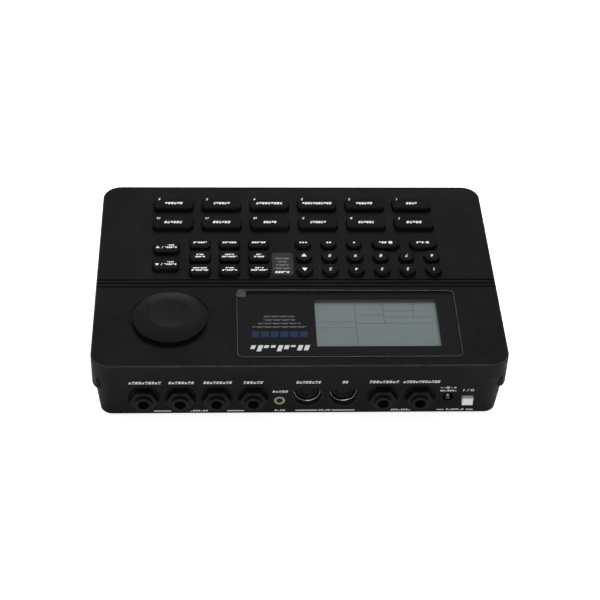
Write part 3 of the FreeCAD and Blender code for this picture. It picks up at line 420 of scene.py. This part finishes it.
def numeral(text, u, v, height, slant=0.25, bold=0.045):
    """Plain numerals from Blender's own typeface, filled, as vertices and faces in millimetres."""
    curve = bpy.data.curves.new("numeral", "FONT")
    curve.body = text
    curve.size = height / 0.7
    curve.align_x = "CENTER"
    curve.shear = slant
    curve.offset = bold
    curve.extrude = 0.5
    curve.resolution_u = 4
    holder = bpy.data.objects.new("numeral", curve)
    mesh = bpy.data.meshes.new_from_object(holder)
    points = np.zeros(len(mesh.vertices) * 3)
    mesh.vertices.foreach_get("co", points)
    points = points.reshape(-1, 3)
    faces = [list(polygon.vertices) for polygon in mesh.polygons]
    bpy.data.objects.remove(holder)
    bpy.data.meshes.remove(mesh)
    bpy.data.curves.remove(curve)
    points[:, 0] += u - (points[:, 0].min() + points[:, 0].max()) / 2
    points[:, 1] += v - (points[:, 1].min() + points[:, 1].max()) / 2
    points[:, 2] = np.where(points[:, 2] > 0, 1.0, 0.0)
    return points, faces


def on_top(points, centre_x, centre_y, level, thickness):
    """Marks laid on a level face: u runs to +x and v to +y."""
    return np.c_[points[:, 0] * MM + centre_x, points[:, 1] * MM + centre_y,
                 level + points[:, 2] * thickness]


def on_rear_wall(points, thickness):
    """Marks laid on the sloping rear wall, read from behind: u runs to -x and v up, the wall giving y."""
    height = points[:, 1] * MM
    depth = WALL_Y - (SKIRT_BOTTOM - height) * WALL_SLOPE
    return np.c_[-points[:, 0] * MM, depth + points[:, 2] * thickness, height]


def marks(outlines, numerals=()):
    """Flat outlines and numerals as one set of plates, one unit thick."""
    parts = [plates(outlines, 1.0)] if len(outlines) else []
    return gather(parts + list(numerals))


# Settings


class FinishSettings(PropertyGroup):
    """Colours that a user would change."""
    case_colour: FloatVectorProperty(name="Case", description="Moulded case colour", subtype="COLOR",
                                     default=(0.0088, 0.0088, 0.0090), min=0, max=1)
    key_colour: FloatVectorProperty(name="Keys", description="Pad and key colour", subtype="COLOR",
                                    default=(0.0062, 0.0070, 0.0080), min=0, max=1)
    ink_colour: FloatVectorProperty(name="Ink", description="Printed mark colour", subtype="COLOR",
                                    default=(0.80, 0.80, 0.82), min=0, max=1)
    display_colour: FloatVectorProperty(name="Display", description="Display reflector colour",
                                        subtype="COLOR", default=(0.325, 0.390, 0.393), min=0, max=1)
    button_colour: FloatVectorProperty(name="Power button", description="Power button colour",
                                       subtype="COLOR", default=(0.80, 0.81, 0.84), min=0, max=1)


class PrintSettings(PropertyGroup):
    """Sizes of the printed marks."""
    pad_mark: FloatProperty(name="Pad mark", description="Height of a pad's middle mark", default=2.2 * MM,
                            unit="LENGTH", precision=5)
    numeral: FloatProperty(name="Numeral", description="Height of a key's numeral", default=2.3 * MM,
                           unit="LENGTH", precision=5)
    pad_numeral: FloatProperty(name="Pad numeral", description="Height of a pad's corner numeral",
                               default=1.75 * MM, unit="LENGTH", precision=5)
    ink: FloatProperty(name="Ink thickness", description="Height of the ink above its face",
                       default=0.03 * MM, unit="LENGTH", precision=6)


class StageSettings(PropertyGroup):
    """Studio light and camera."""
    lens: FloatProperty(name="Lens", description="Focal length on a 36 mm sensor", default=96.725)
    key_power: FloatProperty(name="Key light", description="Power of the overhead light", default=34.0,
                             subtype="POWER")
    fill_power: FloatProperty(name="Fill light", description="Power of the rear fill light", default=8.0,
                              subtype="POWER")
    front_power: FloatProperty(name="Front light", description="Power of the low light before the front edge",
                               default=0.5, subtype="POWER")
    ambient: FloatProperty(name="Ambient", description="Strength of the room's even light", default=0.32)


INK = {}


def ink():
    """The shared printing inks, made once."""
    if not INK:
        settings = bpy.context.scene.drum_finish
        INK["white"] = printed("white_ink", settings.ink_colour)
        INK["grey"] = printed("grey_ink", (0.20, 0.20, 0.21))
        INK["blue"] = printed("blue_ink", (0.022, 0.045, 0.095))
        INK["patch"] = printed("patch_ink", (0.030, 0.030, 0.031))
        # Black border ink, set a little above its own black as a painted sheen of the clear sheet over it
        INK["black"] = printed("black_ink", (0.0125, 0.0125, 0.0135))
        INK["ghost"] = printed("ghost_line", (0.115, 0.135, 0.132))
    return INK


# Operators


class DRUM_OT_case(Operator):
    """Finish the two shells, their screws and the feet"""
    bl_idname = "drum.case"
    bl_label = "Case finish"

    def execute(self, context):
        colour = context.scene.drum_finish.case_colour
        # The top shell's rounded outer edge gets a paler colour as a painted highlight
        dress("top_case", moulded("case_top_plastic", colour, 0.55, 0.30, 0.012, specular=0.12,
                                  rim=PANEL_TOP - 1.3 * MM))
        dress("bottom_case", moulded("case_lower_plastic", colour, 0.55, 0.36, 0.016, specular=0.15))
        dress("screws", metal("dark_zinc", (0.22, 0.22, 0.23), 0.42))
        dress("rubber_feet", moulded("foot_rubber", (0.016, 0.016, 0.016), 0.85, 0.5, 0.03, specular=0.2))
        return {"FINISHED"}


class DRUM_OT_inner(Operator):
    """Finish the boards, the mat, the pot and the switch inside"""
    bl_idname = "drum.inner"
    bl_label = "Inner pieces"

    def execute(self, context):
        board = circuit_board()
        dress("panel_board", board)
        dress("main_board", board)
        dress("keypad_mat", moulded("mat_silicone", (0.30, 0.30, 0.29), 0.7, 0.4, 0.01))
        dress("volume_pot", metal("pot_steel", (0.48, 0.48, 0.47), 0.35))
        dress("volume_shaft", metal("shaft_alloy", (0.60, 0.60, 0.60), 0.28, (1, 1, 6)))
        dress("power_switch", moulded("switch_plastic", (0.018, 0.018, 0.018), 0.5))
        dress("lcd_bezel", moulded("bezel_plastic", (0.010, 0.010, 0.010), 0.6))
        return {"FINISHED"}


class DRUM_OT_keys(Operator):
    """Finish the pads, keys, knob and power button"""
    bl_idname = "drum.keys"
    bl_label = "Pads, keys and knob"

    def execute(self, context):
        settings = context.scene.drum_finish
        rubber = moulded("pad_rubber", settings.key_colour, 0.55, 0.26, 0.010, specular=0.12)
        hard = moulded("key_plastic", settings.key_colour, 0.45, 0.22, 0.006, specular=0.14)
        for name in PADS:
            dress(name, rubber)
        for name in DIGIT_KEYS + ARROW_KEYS + TRANSPORT_KEYS + PATTERN_KEYS + FUNCTION_KEYS + TEMPO_KEYS:
            dress(name, hard)
        dress("volume_knob", moulded("knob_plastic", (0.0098, 0.0098, 0.0102), 0.34, 0.20, 0.003,
                                     specular=0.36))
        dress("power_button", moulded("button_plastic", settings.button_colour, 0.42, 0.3, 0.004, 0.03))
        return {"FINISHED"}


class DRUM_OT_pad_prints(Operator):
    """Print a rhythm motif and a corner numeral on each pad"""
    bl_idname = "drum.pad_prints"
    bl_label = "Pad prints"

    widths = (7.0, 10.2, 18.5, 16.4, 10.2, 11.0, 9.6, 9.8, 9.8, 8.0, 10.8, 11.0)

    def execute(self, context):
        sizes = context.scene.drum_print
        height = sizes.pad_mark / MM
        for order, name in enumerate(PADS):
            low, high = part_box(name)
            middle = (low + high) / 2
            width = self.widths[order]
            outlines = step_motif(0.0, 0.5, width, height, max(4, round(width / 1.75)), 2, order)
            corner = numeral(str(order + 1), 9.0, -3.3, sizes.pad_numeral / MM)
            points, faces = marks(outlines, [corner])
            make_piece(f"{name}_print", on_top(points, middle.x, middle.y, high.z, sizes.ink), faces,
                       ink()["white"], name)
        return {"FINISHED"}


class DRUM_OT_key_prints(Operator):
    """Print numerals, arrows and symbols on the keys"""
    bl_idname = "drum.key_prints"
    bl_label = "Key prints"

    def symbols(self, name, size):
        """Outlines and numerals of one key's print."""
        if name in DIGIT_KEYS:
            return [], [numeral(name[-1], 0.0, 0.4, size)]
        if name in ARROW_KEYS:
            return [triangle(0.0, 0.2, 1.9, 90 if name == "arrow_up" else -90)], []
        if name == "play_key":
            return [triangle(-2.6, 0.4, 1.45, 0)] + step_motif(2.0, 0.4, 4.6, 2.0, 3, 1, 1), []
        if name == "stop_key":
            return [block(-2.8, 0.4, 2.1, 2.1, 0.0)] + step_motif(1.9, 0.4, 4.8, 2.0, 3, 1, 2), []
        if name in PATTERN_KEYS:
            count = PATTERN_KEYS.index(name) + 1
            return [disc((k - (count - 1) / 2) * 1.7, 0.4, 0.62) for k in range(count)], []
        if name in TEMPO_KEYS:
            turn = 90 if name == "tempo_up_key" else -90
            upper = step_motif(-2.6, 1.2, 7.4, 1.6, 6, 1, 1)
            lower = step_motif(-2.6, -0.9, 4.2, 1.2, 4, 1, 3)
            return [triangle(5.2, 1.2, 1.35, turn), block(2.4, 1.2, 0.35, 2.0, 0.5)] + upper + lower, []
        order = FUNCTION_KEYS.index(name)
        if order >= 6:
            return step_motif(0.0, 0.3, 8.4, 1.7, 6, 1, order), []
        wide = (10.2, 9.0, 10.0, 6.2, 9.2, 6.0)[order]
        narrow = (5.2, 5.0, 8.4, 3.4, 5.6, 4.4)[order]
        return (step_motif(0.0, 1.2, wide, 1.5, round(wide / 1.3), 1, order)
                + step_motif(0.0, -0.8, narrow, 1.3, round(narrow / 1.2), 1, order + 1)), []

    def execute(self, context):
        sizes = context.scene.drum_print
        size = sizes.numeral / MM
        names = DIGIT_KEYS + ARROW_KEYS + TRANSPORT_KEYS + PATTERN_KEYS + FUNCTION_KEYS + TEMPO_KEYS
        for name in names:
            low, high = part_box(name)
            middle = (low + high) / 2
            outlines, numerals = self.symbols(name, size)
            points, faces = marks(outlines, numerals)
            make_piece(f"{name}_print", on_top(points, middle.x, middle.y, high.z, sizes.ink), faces,
                       ink()["white"], name)
        return {"FINISHED"}


class DRUM_OT_panel_prints(Operator):
    """Print the small patch between the two groups of keys"""
    bl_idname = "drum.panel_prints"
    bl_label = "Panel patch"

    def execute(self, context):
        thin = context.scene.drum_print.ink
        centre = at_case(8.0, -6.2)
        path, _ = rounded_path(6.3, 10.0, 1.6, 6)
        points, faces = plates([path], 1.0)
        make_piece("patch_print", on_top(points, centre.x, centre.y, PANEL_TOP, thin), faces,
                   ink()["patch"], "case")
        upper = step_motif(0.4, 7.6, 8.6, 2.0, 5, 1, 1)
        points, faces = marks(upper)
        make_piece("patch_heading_print", on_top(points, centre.x, centre.y, PANEL_TOP + thin, thin), faces,
                   ink()["white"], "case")
        lines = []
        for row, width in enumerate((9.6, 7.4, 5.2, 8.2)):
            lines += step_motif(0.2, 4.2 - row * 3.0, width, 1.3, round(width / 1.1), 1, row)
        points, faces = marks(lines)
        make_piece("patch_lines_print", on_top(points, centre.x, centre.y, PANEL_TOP + thin, thin), faces,
                   ink()["grey"], "case")
        return {"FINISHED"}


class DRUM_OT_window(Operator):
    """Window sheet, its film with a lifted corner, the display and its ghost lines"""
    bl_idname = "drum.window"
    bl_label = "Display window"

    # Ghost lines of the display in millimetres from the case's middle: x0, y0, x1, y1
    ghosts = ((-33.1, 24.0, -33.1, 64.5), (-49.6, 24.0, -49.6, 42.8), (-67.1, 24.0, -67.1, 37.7),
              (-11.0, 41.35, -33.1, 41.35), (-11.0, 46.35, -33.1, 46.35), (-33.1, 35.5, -49.6, 35.5),
              (-49.6, 32.0, -67.1, 32.0), (-49.6, 37.3, -78.8, 37.3), (-33.1, 42.5, -78.8, 42.5))

    # The display's aperture in the border print, in millimetres from the case's middle
    aperture = (-80.5, 23.1, -9.45, 64.0)

    def execute(self, context):
        settings = context.scene.drum_finish
        thin = context.scene.drum_print.ink
        dress("display_lens", window_sheet())
        dress("lcd_glass", display_glass(settings.display_colour))
        self.ghost_lines(thin)
        self.border()
        self.film()
        self.motif(thin)
        return {"FINISHED"}

    def ghost_lines(self, thin):
        """Faint segment lines on the display: one thin block from end to end of each."""
        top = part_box("lcd_glass")[1].z
        outlines = []
        for x0, y0, x1, y1 in self.ghosts:
            wide, high = max(abs(x1 - x0), 0.22), max(abs(y1 - y0), 0.22)
            outlines.append(block((x0 + x1) / 2, (y0 + y1) / 2, wide, high, 0.0))
        points, faces = marks(outlines)
        make_piece("display_ghost_lines", on_top(points, 0.0, CASE_MIDDLE_Y, top, thin), faces,
                   ink()["ghost"], "case")

    def border(self):
        """Black print under the sheet, its ink a little paler than true black as a painted sheen: a flat band
        between the sheet's outline and the display's aperture.
        """
        low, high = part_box("display_lens")
        middle = (low + high) / 2
        outer, _ = rounded_path((high.x - low.x) / 2 / MM - 0.3, (high.y - low.y) / 2 / MM - 0.3, 3.2)
        outer += (middle.x / MM, (middle.y - CASE_MIDDLE_Y) / MM)
        x0, y0, x1, y1 = self.aperture
        inner, _ = rounded_path((x1 - x0) / 2, (y1 - y0) / 2, 0.5)
        inner += ((x0 + x1) / 2, (y0 + y1) / 2)
        bottom, top = low.z / MM + 0.004, low.z / MM + 0.016
        loops = [np.c_[loop, np.full(len(loop), z)] for loop, z in
                 ((inner, bottom), (outer, bottom), (outer, top), (inner, top))]
        points, faces = grid_faces(np.stack(loops, 1), True, True)
        make_piece("window_border_print", from_case(points), faces, ink()["black"], "case")

    def film(self):
        """Film over the sheet, drawn as a thin band along its cut edge in a pale painted highlight, curled up
        at one corner, with the lifted corner itself.
        """
        low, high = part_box("display_lens")
        middle = (low + high) / 2
        half_x = (high.x - low.x) / 2 / MM - 0.15
        half_y = (high.y - low.y) / 2 / MM - 0.15
        path, normals = rounded_path(half_x, half_y, 3.4, 14)
        centre = np.array([[middle.x / MM, middle.y / MM]])
        section = [(-0.16, 0.0), (0.16, 0.0), (0.16, 0.07), (-0.16, 0.07)]
        points, faces = swept(section, (path, normals))
        lifted = self.curl(points, half_x, half_y)
        lifted[:, :2] += centre
        lifted[:, 2] += high.z / MM + 0.01
        make_piece("film_edge", lifted * MM, faces, film_edge(), "case", True)
        self.corner_flap(half_x, half_y, centre, high.z / MM)

    def curl(self, points, half_x, half_y):
        """Lift z by the square of how far a point lies past a slanted line near the corner (+x, -y)."""
        past = np.clip((points[:, 0] - half_x + 4.2) + (-points[:, 1] - half_y + 4.2) - 1.6, 0, None)
        lifted = points.copy()
        lifted[:, 2] += 0.055 * past ** 2
        return lifted

    def corner_flap(self, half_x, half_y, centre, level):
        """The lifted corner itself: a small grid of the film, u along its root and v towards the corner."""
        u = np.linspace(0, 1, 25)[:, None]
        v = np.linspace(0, 1, 25)[None, :]
        reach = 5.2
        x = half_x - reach + reach * v + 0 * u
        y = -half_y + reach - reach * u + 0 * v
        corner = np.array([half_x - 3.4, -half_y + 3.4])
        dx, dy = x - corner[0], y - corner[1]
        over = np.hypot(np.clip(dx, 0, None), np.clip(-dy, 0, None))
        pull = np.where(over > 3.4, 3.4 / np.maximum(over, 1e-6), 1.0)
        x = np.where((dx > 0) & (dy < 0), corner[0] + dx * pull, x)
        y = np.where((dx > 0) & (dy < 0), corner[1] + dy * pull, y)
        grid = np.stack([x, y, np.zeros_like(x)], -1)
        points, faces = grid_faces(grid, False, False)
        points = self.curl(points, half_x, half_y)
        points[:, :2] += centre
        points[:, 2] += level + 0.03
        piece = make_piece("film_corner", points * MM, faces, protective_film(), "case", True)
        thick = piece.modifiers.new("thickness", "SOLIDIFY")
        thick.thickness = 0.06 * MM
        thick.offset = 1.0

    def motif(self, thin):
        """A generic level meter on the window's dark border, printed under the sheet, in place of wording."""
        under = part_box("display_lens")[0].z + 0.02 * MM
        outlines = []
        for order in range(9):
            tall = 1.4 + 3.6 * (0.5 + 0.5 * math.sin(order * 1.9 + 0.6))
            outlines.append(block(-3.6 + order * 3.8, 63.0 + tall / 2, 2.6, tall, 0.3))
        points, faces = marks(outlines)
        make_piece("window_meter_print", on_top(points, 0.0, CASE_MIDDLE_Y, under, thin), faces,
                   ink()["white"], "case")
        blues = [block(-2.2 + order * 5.5, 54.0, 4.4, 4.8, 0.12) for order in range(6)]
        points, faces = marks(blues)
        make_piece("window_step_print", on_top(points, 0.0, CASE_MIDDLE_Y, under, thin), faces,
                   ink()["blue"], "case")
        lines = []
        for row, width in enumerate((31.0, 24.5, 18.5, 18.0)):
            lines += step_motif(11.4, 47.9 - row * 2.95, width, 1.35, round(width / 1.2), 1, row)
        points, faces = marks(lines)
        make_piece("window_lines_print", on_top(points, 0.0, CASE_MIDDLE_Y, under, thin), faces,
                   ink()["grey"], "case")


class DRUM_OT_rear(Operator):
    """Finish the sockets and print the rear wall's symbols"""
    bl_idname = "drum.rear"
    bl_label = "Rear panel"

    jack_x = (88.65, 68.0, 47.35, 26.7, -47.2, -68.3)
    jack_height = 17.3
    round_x = (-4.2, -24.8)
    round_height = 18.5
    round_pin_circle = 3.75
    round_pins = 5
    inlet_x = -84.9
    inlet_height = 16.1

    def execute(self, context):
        socket = moulded("socket_plastic", (0.0075, 0.0075, 0.0078), 0.42, 0.25, 0.01, specular=0.25)
        dress("phone_jacks", socket)
        dress("jack_nuts", moulded("nut_plastic", (0.0080, 0.0080, 0.0083), 0.42, 0.25, 0.008,
                                   specular=0.25))
        dress("tape_jack", metal("gold_flash", (0.86, 0.80, 0.64), 0.24))
        dress("midi_sockets", moulded("round_socket_plastic", (0.0080, 0.0080, 0.0083), 0.40, specular=0.25))
        dress("power_inlet", moulded("inlet_plastic", (0.0060, 0.0060, 0.0063), 0.45, specular=0.2))
        bright = metal("nickel_plate", (0.74, 0.73, 0.70), 0.2)
        self.round_shields(bright)
        self.jack_springs(bright)
        self.inlet_contacts(bright)
        self.wall_prints(context.scene.drum_print.ink)
        return {"FINISHED"}

    def along_y(self, points, x, z, y):
        """Points of a piece turned about z, laid so that its height runs along +y from y."""
        return np.c_[points[:, 0] + x, points[:, 2] + y, -points[:, 1] + z]

    def round_shields(self, bright):
        """Each round socket's plated sleeve and its five contacts."""
        sleeve = [(7.05, -7.2), (7.16, -7.2), (7.16, 0.02), (7.70, 0.02), (7.70, 0.14), (7.62, 0.24),
                  (7.12, 0.24), (7.05, 0.14)]
        contact = [(0.40, -6.0), (0.66, -6.0), (0.66, -1.35), (0.58, -1.2), (0.40, -1.2)]
        rings, pins = [], []
        mouth_y = (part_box("midi_sockets")[1].y - CASE_MIDDLE_Y) / MM
        shield_y, face_y = mouth_y - 3.1, mouth_y - 3.9
        for x in self.round_x:
            points, faces = turned(sleeve, 128)
            rings.append((self.along_y(points, x, self.round_height, shield_y), faces))
            for k in range(self.round_pins):
                angle = math.radians(180 + 45 * k)
                points, faces = turned(contact, 20)
                across = x + self.round_pin_circle * math.cos(angle)
                height = self.round_height + self.round_pin_circle * math.sin(angle)
                pins.append((self.along_y(points, across, height, face_y), faces))
        for name, parts in (("round_socket_shields", rings), ("round_socket_contacts", pins)):
            points, faces = gather(parts)
            make_piece(name, from_case(points), faces, bright, "case", True)

    def jack_springs(self, bright):
        """A bent contact leaf in the floor of each large socket's bore, seen down its mouth."""
        along = np.linspace(0, 1, 24)
        parts = []
        for x in self.jack_x:
            rise = 0.9 * np.exp(-((along - 0.45) / 0.16) ** 2)
            y = 58.0 + 18.0 * along
            across = np.array([-1.1, 1.1])
            top = self.jack_height - 3.0 + rise
            grid = np.stack([np.broadcast_to(x + across[None, :], (24, 2)),
                             np.broadcast_to(y[:, None], (24, 2)),
                             np.broadcast_to(top[:, None], (24, 2))], -1)
            parts.append(grid_faces(grid, False, False))
        points, faces = gather(parts)
        piece = make_piece("jack_contact_leaves", from_case(points), faces, bright,
                           "case", True)
        thick = piece.modifiers.new("thickness", "SOLIDIFY")
        thick.thickness = 0.15 * MM
        thick.offset = 1.0

    def inlet_contacts(self, bright):
        """The inlet's plated pin cap and the copper leaf low in its mouth."""
        pin = [(0.55, -6.0), (1.04, -6.0), (1.04, -0.35), (0.9, -0.1), (0.6, 0.06), (0.3, 0.1), (0.02, 0.12),
               (0.02, 0.04), (0.55, -0.1)]
        points, faces = turned(pin, 32)
        points = self.along_y(points, self.inlet_x, self.inlet_height, 76.9)
        make_piece("inlet_pin_cap", from_case(points), faces, bright, "case", True)
        angle = np.radians(np.linspace(238, 302, 24))
        depth = np.array([70.0, 77.3])
        radius = np.array([1.75, 2.15])
        grid = np.stack([self.inlet_x + np.cos(angle)[:, None] * radius, np.broadcast_to(depth, (24, 2)),
                         self.inlet_height + np.sin(angle)[:, None] * radius], -1)
        points, faces = grid_faces(grid, False, False)
        copper = metal("copper_leaf", (0.42, 0.27, 0.21), 0.36)
        piece = make_piece("inlet_leaf", from_case(points), faces, copper, "case", True)
        thick = piece.modifiers.new("thickness", "SOLIDIFY")
        thick.thickness = 0.12 * MM

    def wall_prints(self, thin):
        """Symbols above and bars below the sockets. u is minus x, so that they read from behind."""
        high, low, outlines = 29.8, 4.8, []
        for x0, x1, phase in ((97.0, 78.6, 0), (74.6, 60.1, 1), (55.0, 38.7, 2), (32.5, 21.2, 3),
                              (2.6, -11.5, 1), (-23.5, -26.9, 2), (-38.8, -55.8, 3), (-58.1, -79.2, 0)):
            width = x0 - x1
            outlines += step_motif(-(x0 + x1) / 2, high, width, 2.3, max(2, round(width / 1.8)), 2, phase)
        outlines += step_motif(-11.4, 21.7, 9.0, 1.9, 5, 2, 1)
        for x0, x1 in ((83.3, 73.6), (41.5, 31.7), (2.3, -10.4), (-18.5, -31.8), (-79.4, -83.5),
                       (-96.3, -100.4)):
            outlines.append(block(-(x0 + x1) / 2, low, x0 - x1, 0.75, 0.0))
        for x0, x1, phase in ((62.7, 52.4, 0), (14.4, 8.1, 1), (-10.9, -17.9, 2), (-52.7, -64.3, 3),
                              (-84.6, -95.1, 1)):
            width = x0 - x1
            outlines += step_motif(-(x0 + x1) / 2, low + 0.15, width, 1.5, round(width / 1.5), 1, phase)
        outlines += self.polarity(84.4, 24.4) + self.power(95.8, 22.1)
        outlines += step_motif(84.6, 21.8, 9.6, 1.4, 7, 1, 2)
        points, faces = marks(outlines)
        make_piece("rear_wall_print", on_rear_wall(points, thin), faces, ink()["white"],
                   "case")

    def polarity(self, u, v):
        """Centre plus mark: a dash, a round contact with its dot, and a plus."""
        made = [block(u - 3.9, v, 1.6, 0.4, 0.0), block(u - 1.9, v, 1.2, 0.3, 0.0),
                block(u + 1.9, v, 1.4, 0.3, 0.0), block(u + 3.9, v, 1.6, 0.4, 0.0),
                block(u + 3.9, v, 0.4, 1.6, 0.0), disc(u, v, 0.42, 14)]
        return made + arc_band(u, v, 1.05, 0.32, 40, 320, 14)

    def power(self, u, v):
        """On and off mark: an upright bar, a slash and a ring."""
        strokes = [block(u - 2.4, v, 0.5, 1.9, 0.1), block(u, v, 0.35, 2.0, 0.5)]
        return strokes + arc_band(u + 2.5, v, 0.8, 0.4)


class DRUM_OT_stage(Operator):
    """Pale floor, soft light, room and the camera at the photograph's angle"""
    bl_idname = "drum.stage"
    bl_label = "Studio"

    def execute(self, context):
        settings = context.scene.drum_stage
        context.scene.view_settings.view_transform = "Standard"
        self.floor()
        self.room(settings.ambient)
        self.softbox("key_light", (-0.12, -1.05, 1.00), (0.0, 0.0, 0.03), 0.9, settings.key_power, False)
        self.softbox("front_light", (0.10, -1.60, 0.36), (0.0, 0.0, 0.03), 0.7, settings.front_power, True)
        self.softbox("fill_light", (0.15, 1.45, 0.35), (0.0, 0.0, 0.02), 0.8, settings.fill_power, True)
        self.camera(context, settings.lens)
        return {"FINISHED"}

    def floor(self):
        """A level sheet, white to the camera except where the object shades it."""
        size = 4.0
        points = np.array([(-size, -size, 0), (size, -size, 0), (size, size, 0), (-size, size, 0)], float)
        mesh = bpy.data.meshes.new("floor")
        mesh.from_pydata(points.tolist(), [], [[0, 1, 2, 3]])
        sheet = bpy.data.objects.new("floor", mesh)
        bpy.context.scene.collection.objects.link(sheet)
        made = Shader("floor_paper", (0.82, 0.82, 0.82), 0.9, 0.1)
        made.relief(made.noise(60.0, 2.0), 0.2 * MM)
        rays = made.node("ShaderNodeLightPath").outputs
        seen = made.node("ShaderNodeMath", operation="MAXIMUM")
        made.link(rays["Is Camera Ray"], seen.inputs[0])
        made.link(rays["Is Transmission Ray"], seen.inputs[1])
        glow = made.node("ShaderNodeEmission")
        glow.inputs["Color"].default_value = (0.80, 0.80, 0.80, 1.0)
        made.link(seen.outputs[0], glow.inputs["Strength"])
        both = made.node("ShaderNodeAddShader")
        made.link(made.surface.outputs["BSDF"], both.inputs[0])
        made.link(glow.outputs["Emission"], both.inputs[1])
        made.link(both.outputs["Shader"], made.tree.nodes["Material Output"].inputs["Surface"])
        mesh.materials.append(made.material)

    def room(self, ambient):
        """World: white where the camera looks at it, and an even grey as light."""
        world = bpy.data.worlds.new("studio_room")
        world.use_nodes = True
        tree = world.node_tree
        background = tree.nodes["Background"]
        background.inputs["Color"].default_value = (1.0, 1.0, 1.0, 1.0)
        rays = tree.nodes.new("ShaderNodeLightPath")
        level = tree.nodes.new("ShaderNodeMapRange")
        level.inputs["To Min"].default_value = ambient
        level.inputs["To Max"].default_value = 1.0
        tree.links.new(rays.outputs["Is Camera Ray"], level.inputs["Value"])
        dim = tree.nodes.new("ShaderNodeMapRange")
        dim.inputs["To Min"].default_value = 1.0
        dim.inputs["To Max"].default_value = 0.2
        tree.links.new(rays.outputs["Is Glossy Ray"], dim.inputs["Value"])
        strength = tree.nodes.new("ShaderNodeMath")
        strength.operation = "MULTIPLY"
        tree.links.new(level.outputs["Result"], strength.inputs[0])
        tree.links.new(dim.outputs["Result"], strength.inputs[1])
        tree.links.new(strength.outputs["Value"], background.inputs["Strength"])
        bpy.context.scene.world = world

    def softbox(self, name, place, target, size, power, mirrored):
        """A square area light that looks at a point; mirrored says whether gloss shows it."""
        lamp = bpy.data.lights.new(name, "AREA")
        lamp.size = size
        lamp.energy = power
        holder = bpy.data.objects.new(name, lamp)
        holder.location = Vector(place)
        holder.rotation_euler = (Vector(target) - Vector(place)).to_track_quat("-Z", "Y").to_euler()
        holder.visible_glossy = mirrored
        bpy.context.scene.collection.objects.link(holder)

    def camera(self, context, lens):
        """Camera behind and above the sockets, turned a little about its own axis."""
        azimuth, elevation, roll = (math.radians(a) for a in (176.1933, 42.0388, 2.4139))
        back = Vector((math.sin(azimuth) * math.cos(elevation), -math.cos(azimuth) * math.cos(elevation),
                       math.sin(elevation)))
        right = (-back).cross(Vector((0, 0, 1))).normalized()
        up = right.cross(-back)
        side = right * math.cos(roll) + up * math.sin(roll)
        rise = up * math.cos(roll) - right * math.sin(roll)
        data = bpy.data.cameras.new("camera")
        data.sensor_width = 36.0
        data.lens = lens
        data.shift_x = -HALF_PIXEL
        data.shift_y = HALF_PIXEL
        data.clip_start = 0.01
        data.clip_end = 50.0
        holder = bpy.data.objects.new("camera", data)
        turn = Matrix((side, rise, back)).transposed().to_4x4()
        holder.matrix_world = Matrix.Translation(at_case(44.907, 722.621, 672.948)) @ turn
        context.scene.collection.objects.link(holder)
        context.scene.camera = holder


class DRUM_PT_looks(Panel):
    """Lists the operators and their settings"""
    bl_idname = "DRUM_PT_looks"
    bl_label = "Drum machine"
    bl_space_type = "VIEW_3D"
    bl_region_type = "UI"
    bl_category = "Drum machine"

    def draw(self, context):
        for group in ("drum_finish", "drum_print", "drum_stage"):
            settings = getattr(context.scene, group)
            for key in settings.__annotations__:
                self.layout.prop(settings, key)
        for operator in OPERATORS:
            self.layout.operator(operator.bl_idname)


SETTINGS = {"drum_finish": FinishSettings, "drum_print": PrintSettings, "drum_stage": StageSettings}
OPERATORS = (DRUM_OT_stage, DRUM_OT_case, DRUM_OT_inner, DRUM_OT_keys, DRUM_OT_pad_prints,
             DRUM_OT_key_prints, DRUM_OT_panel_prints, DRUM_OT_window, DRUM_OT_rear)


def register():
    """Adds the settings, operators and panel."""
    for name, group in SETTINGS.items():
        bpy.utils.register_class(group)
        setattr(bpy.types.Scene, name, PointerProperty(type=group))
    for kind in OPERATORS + (DRUM_PT_looks,):
        bpy.utils.register_class(kind)


def unregister():
    """Takes them away again."""
    for kind in reversed(OPERATORS + (DRUM_PT_looks,)):
        bpy.utils.unregister_class(kind)
    for name, group in SETTINGS.items():
        delattr(bpy.types.Scene, name)
        bpy.utils.unregister_class(group)


def main():
    """Runs every operator in order."""
    register()
    for operator in OPERATORS:
        group, name = operator.bl_idname.split(".")
        getattr(getattr(bpy.ops, group), name)()
    bpy.context.view_layer.update()


if __name__ == "__main__":
    main()
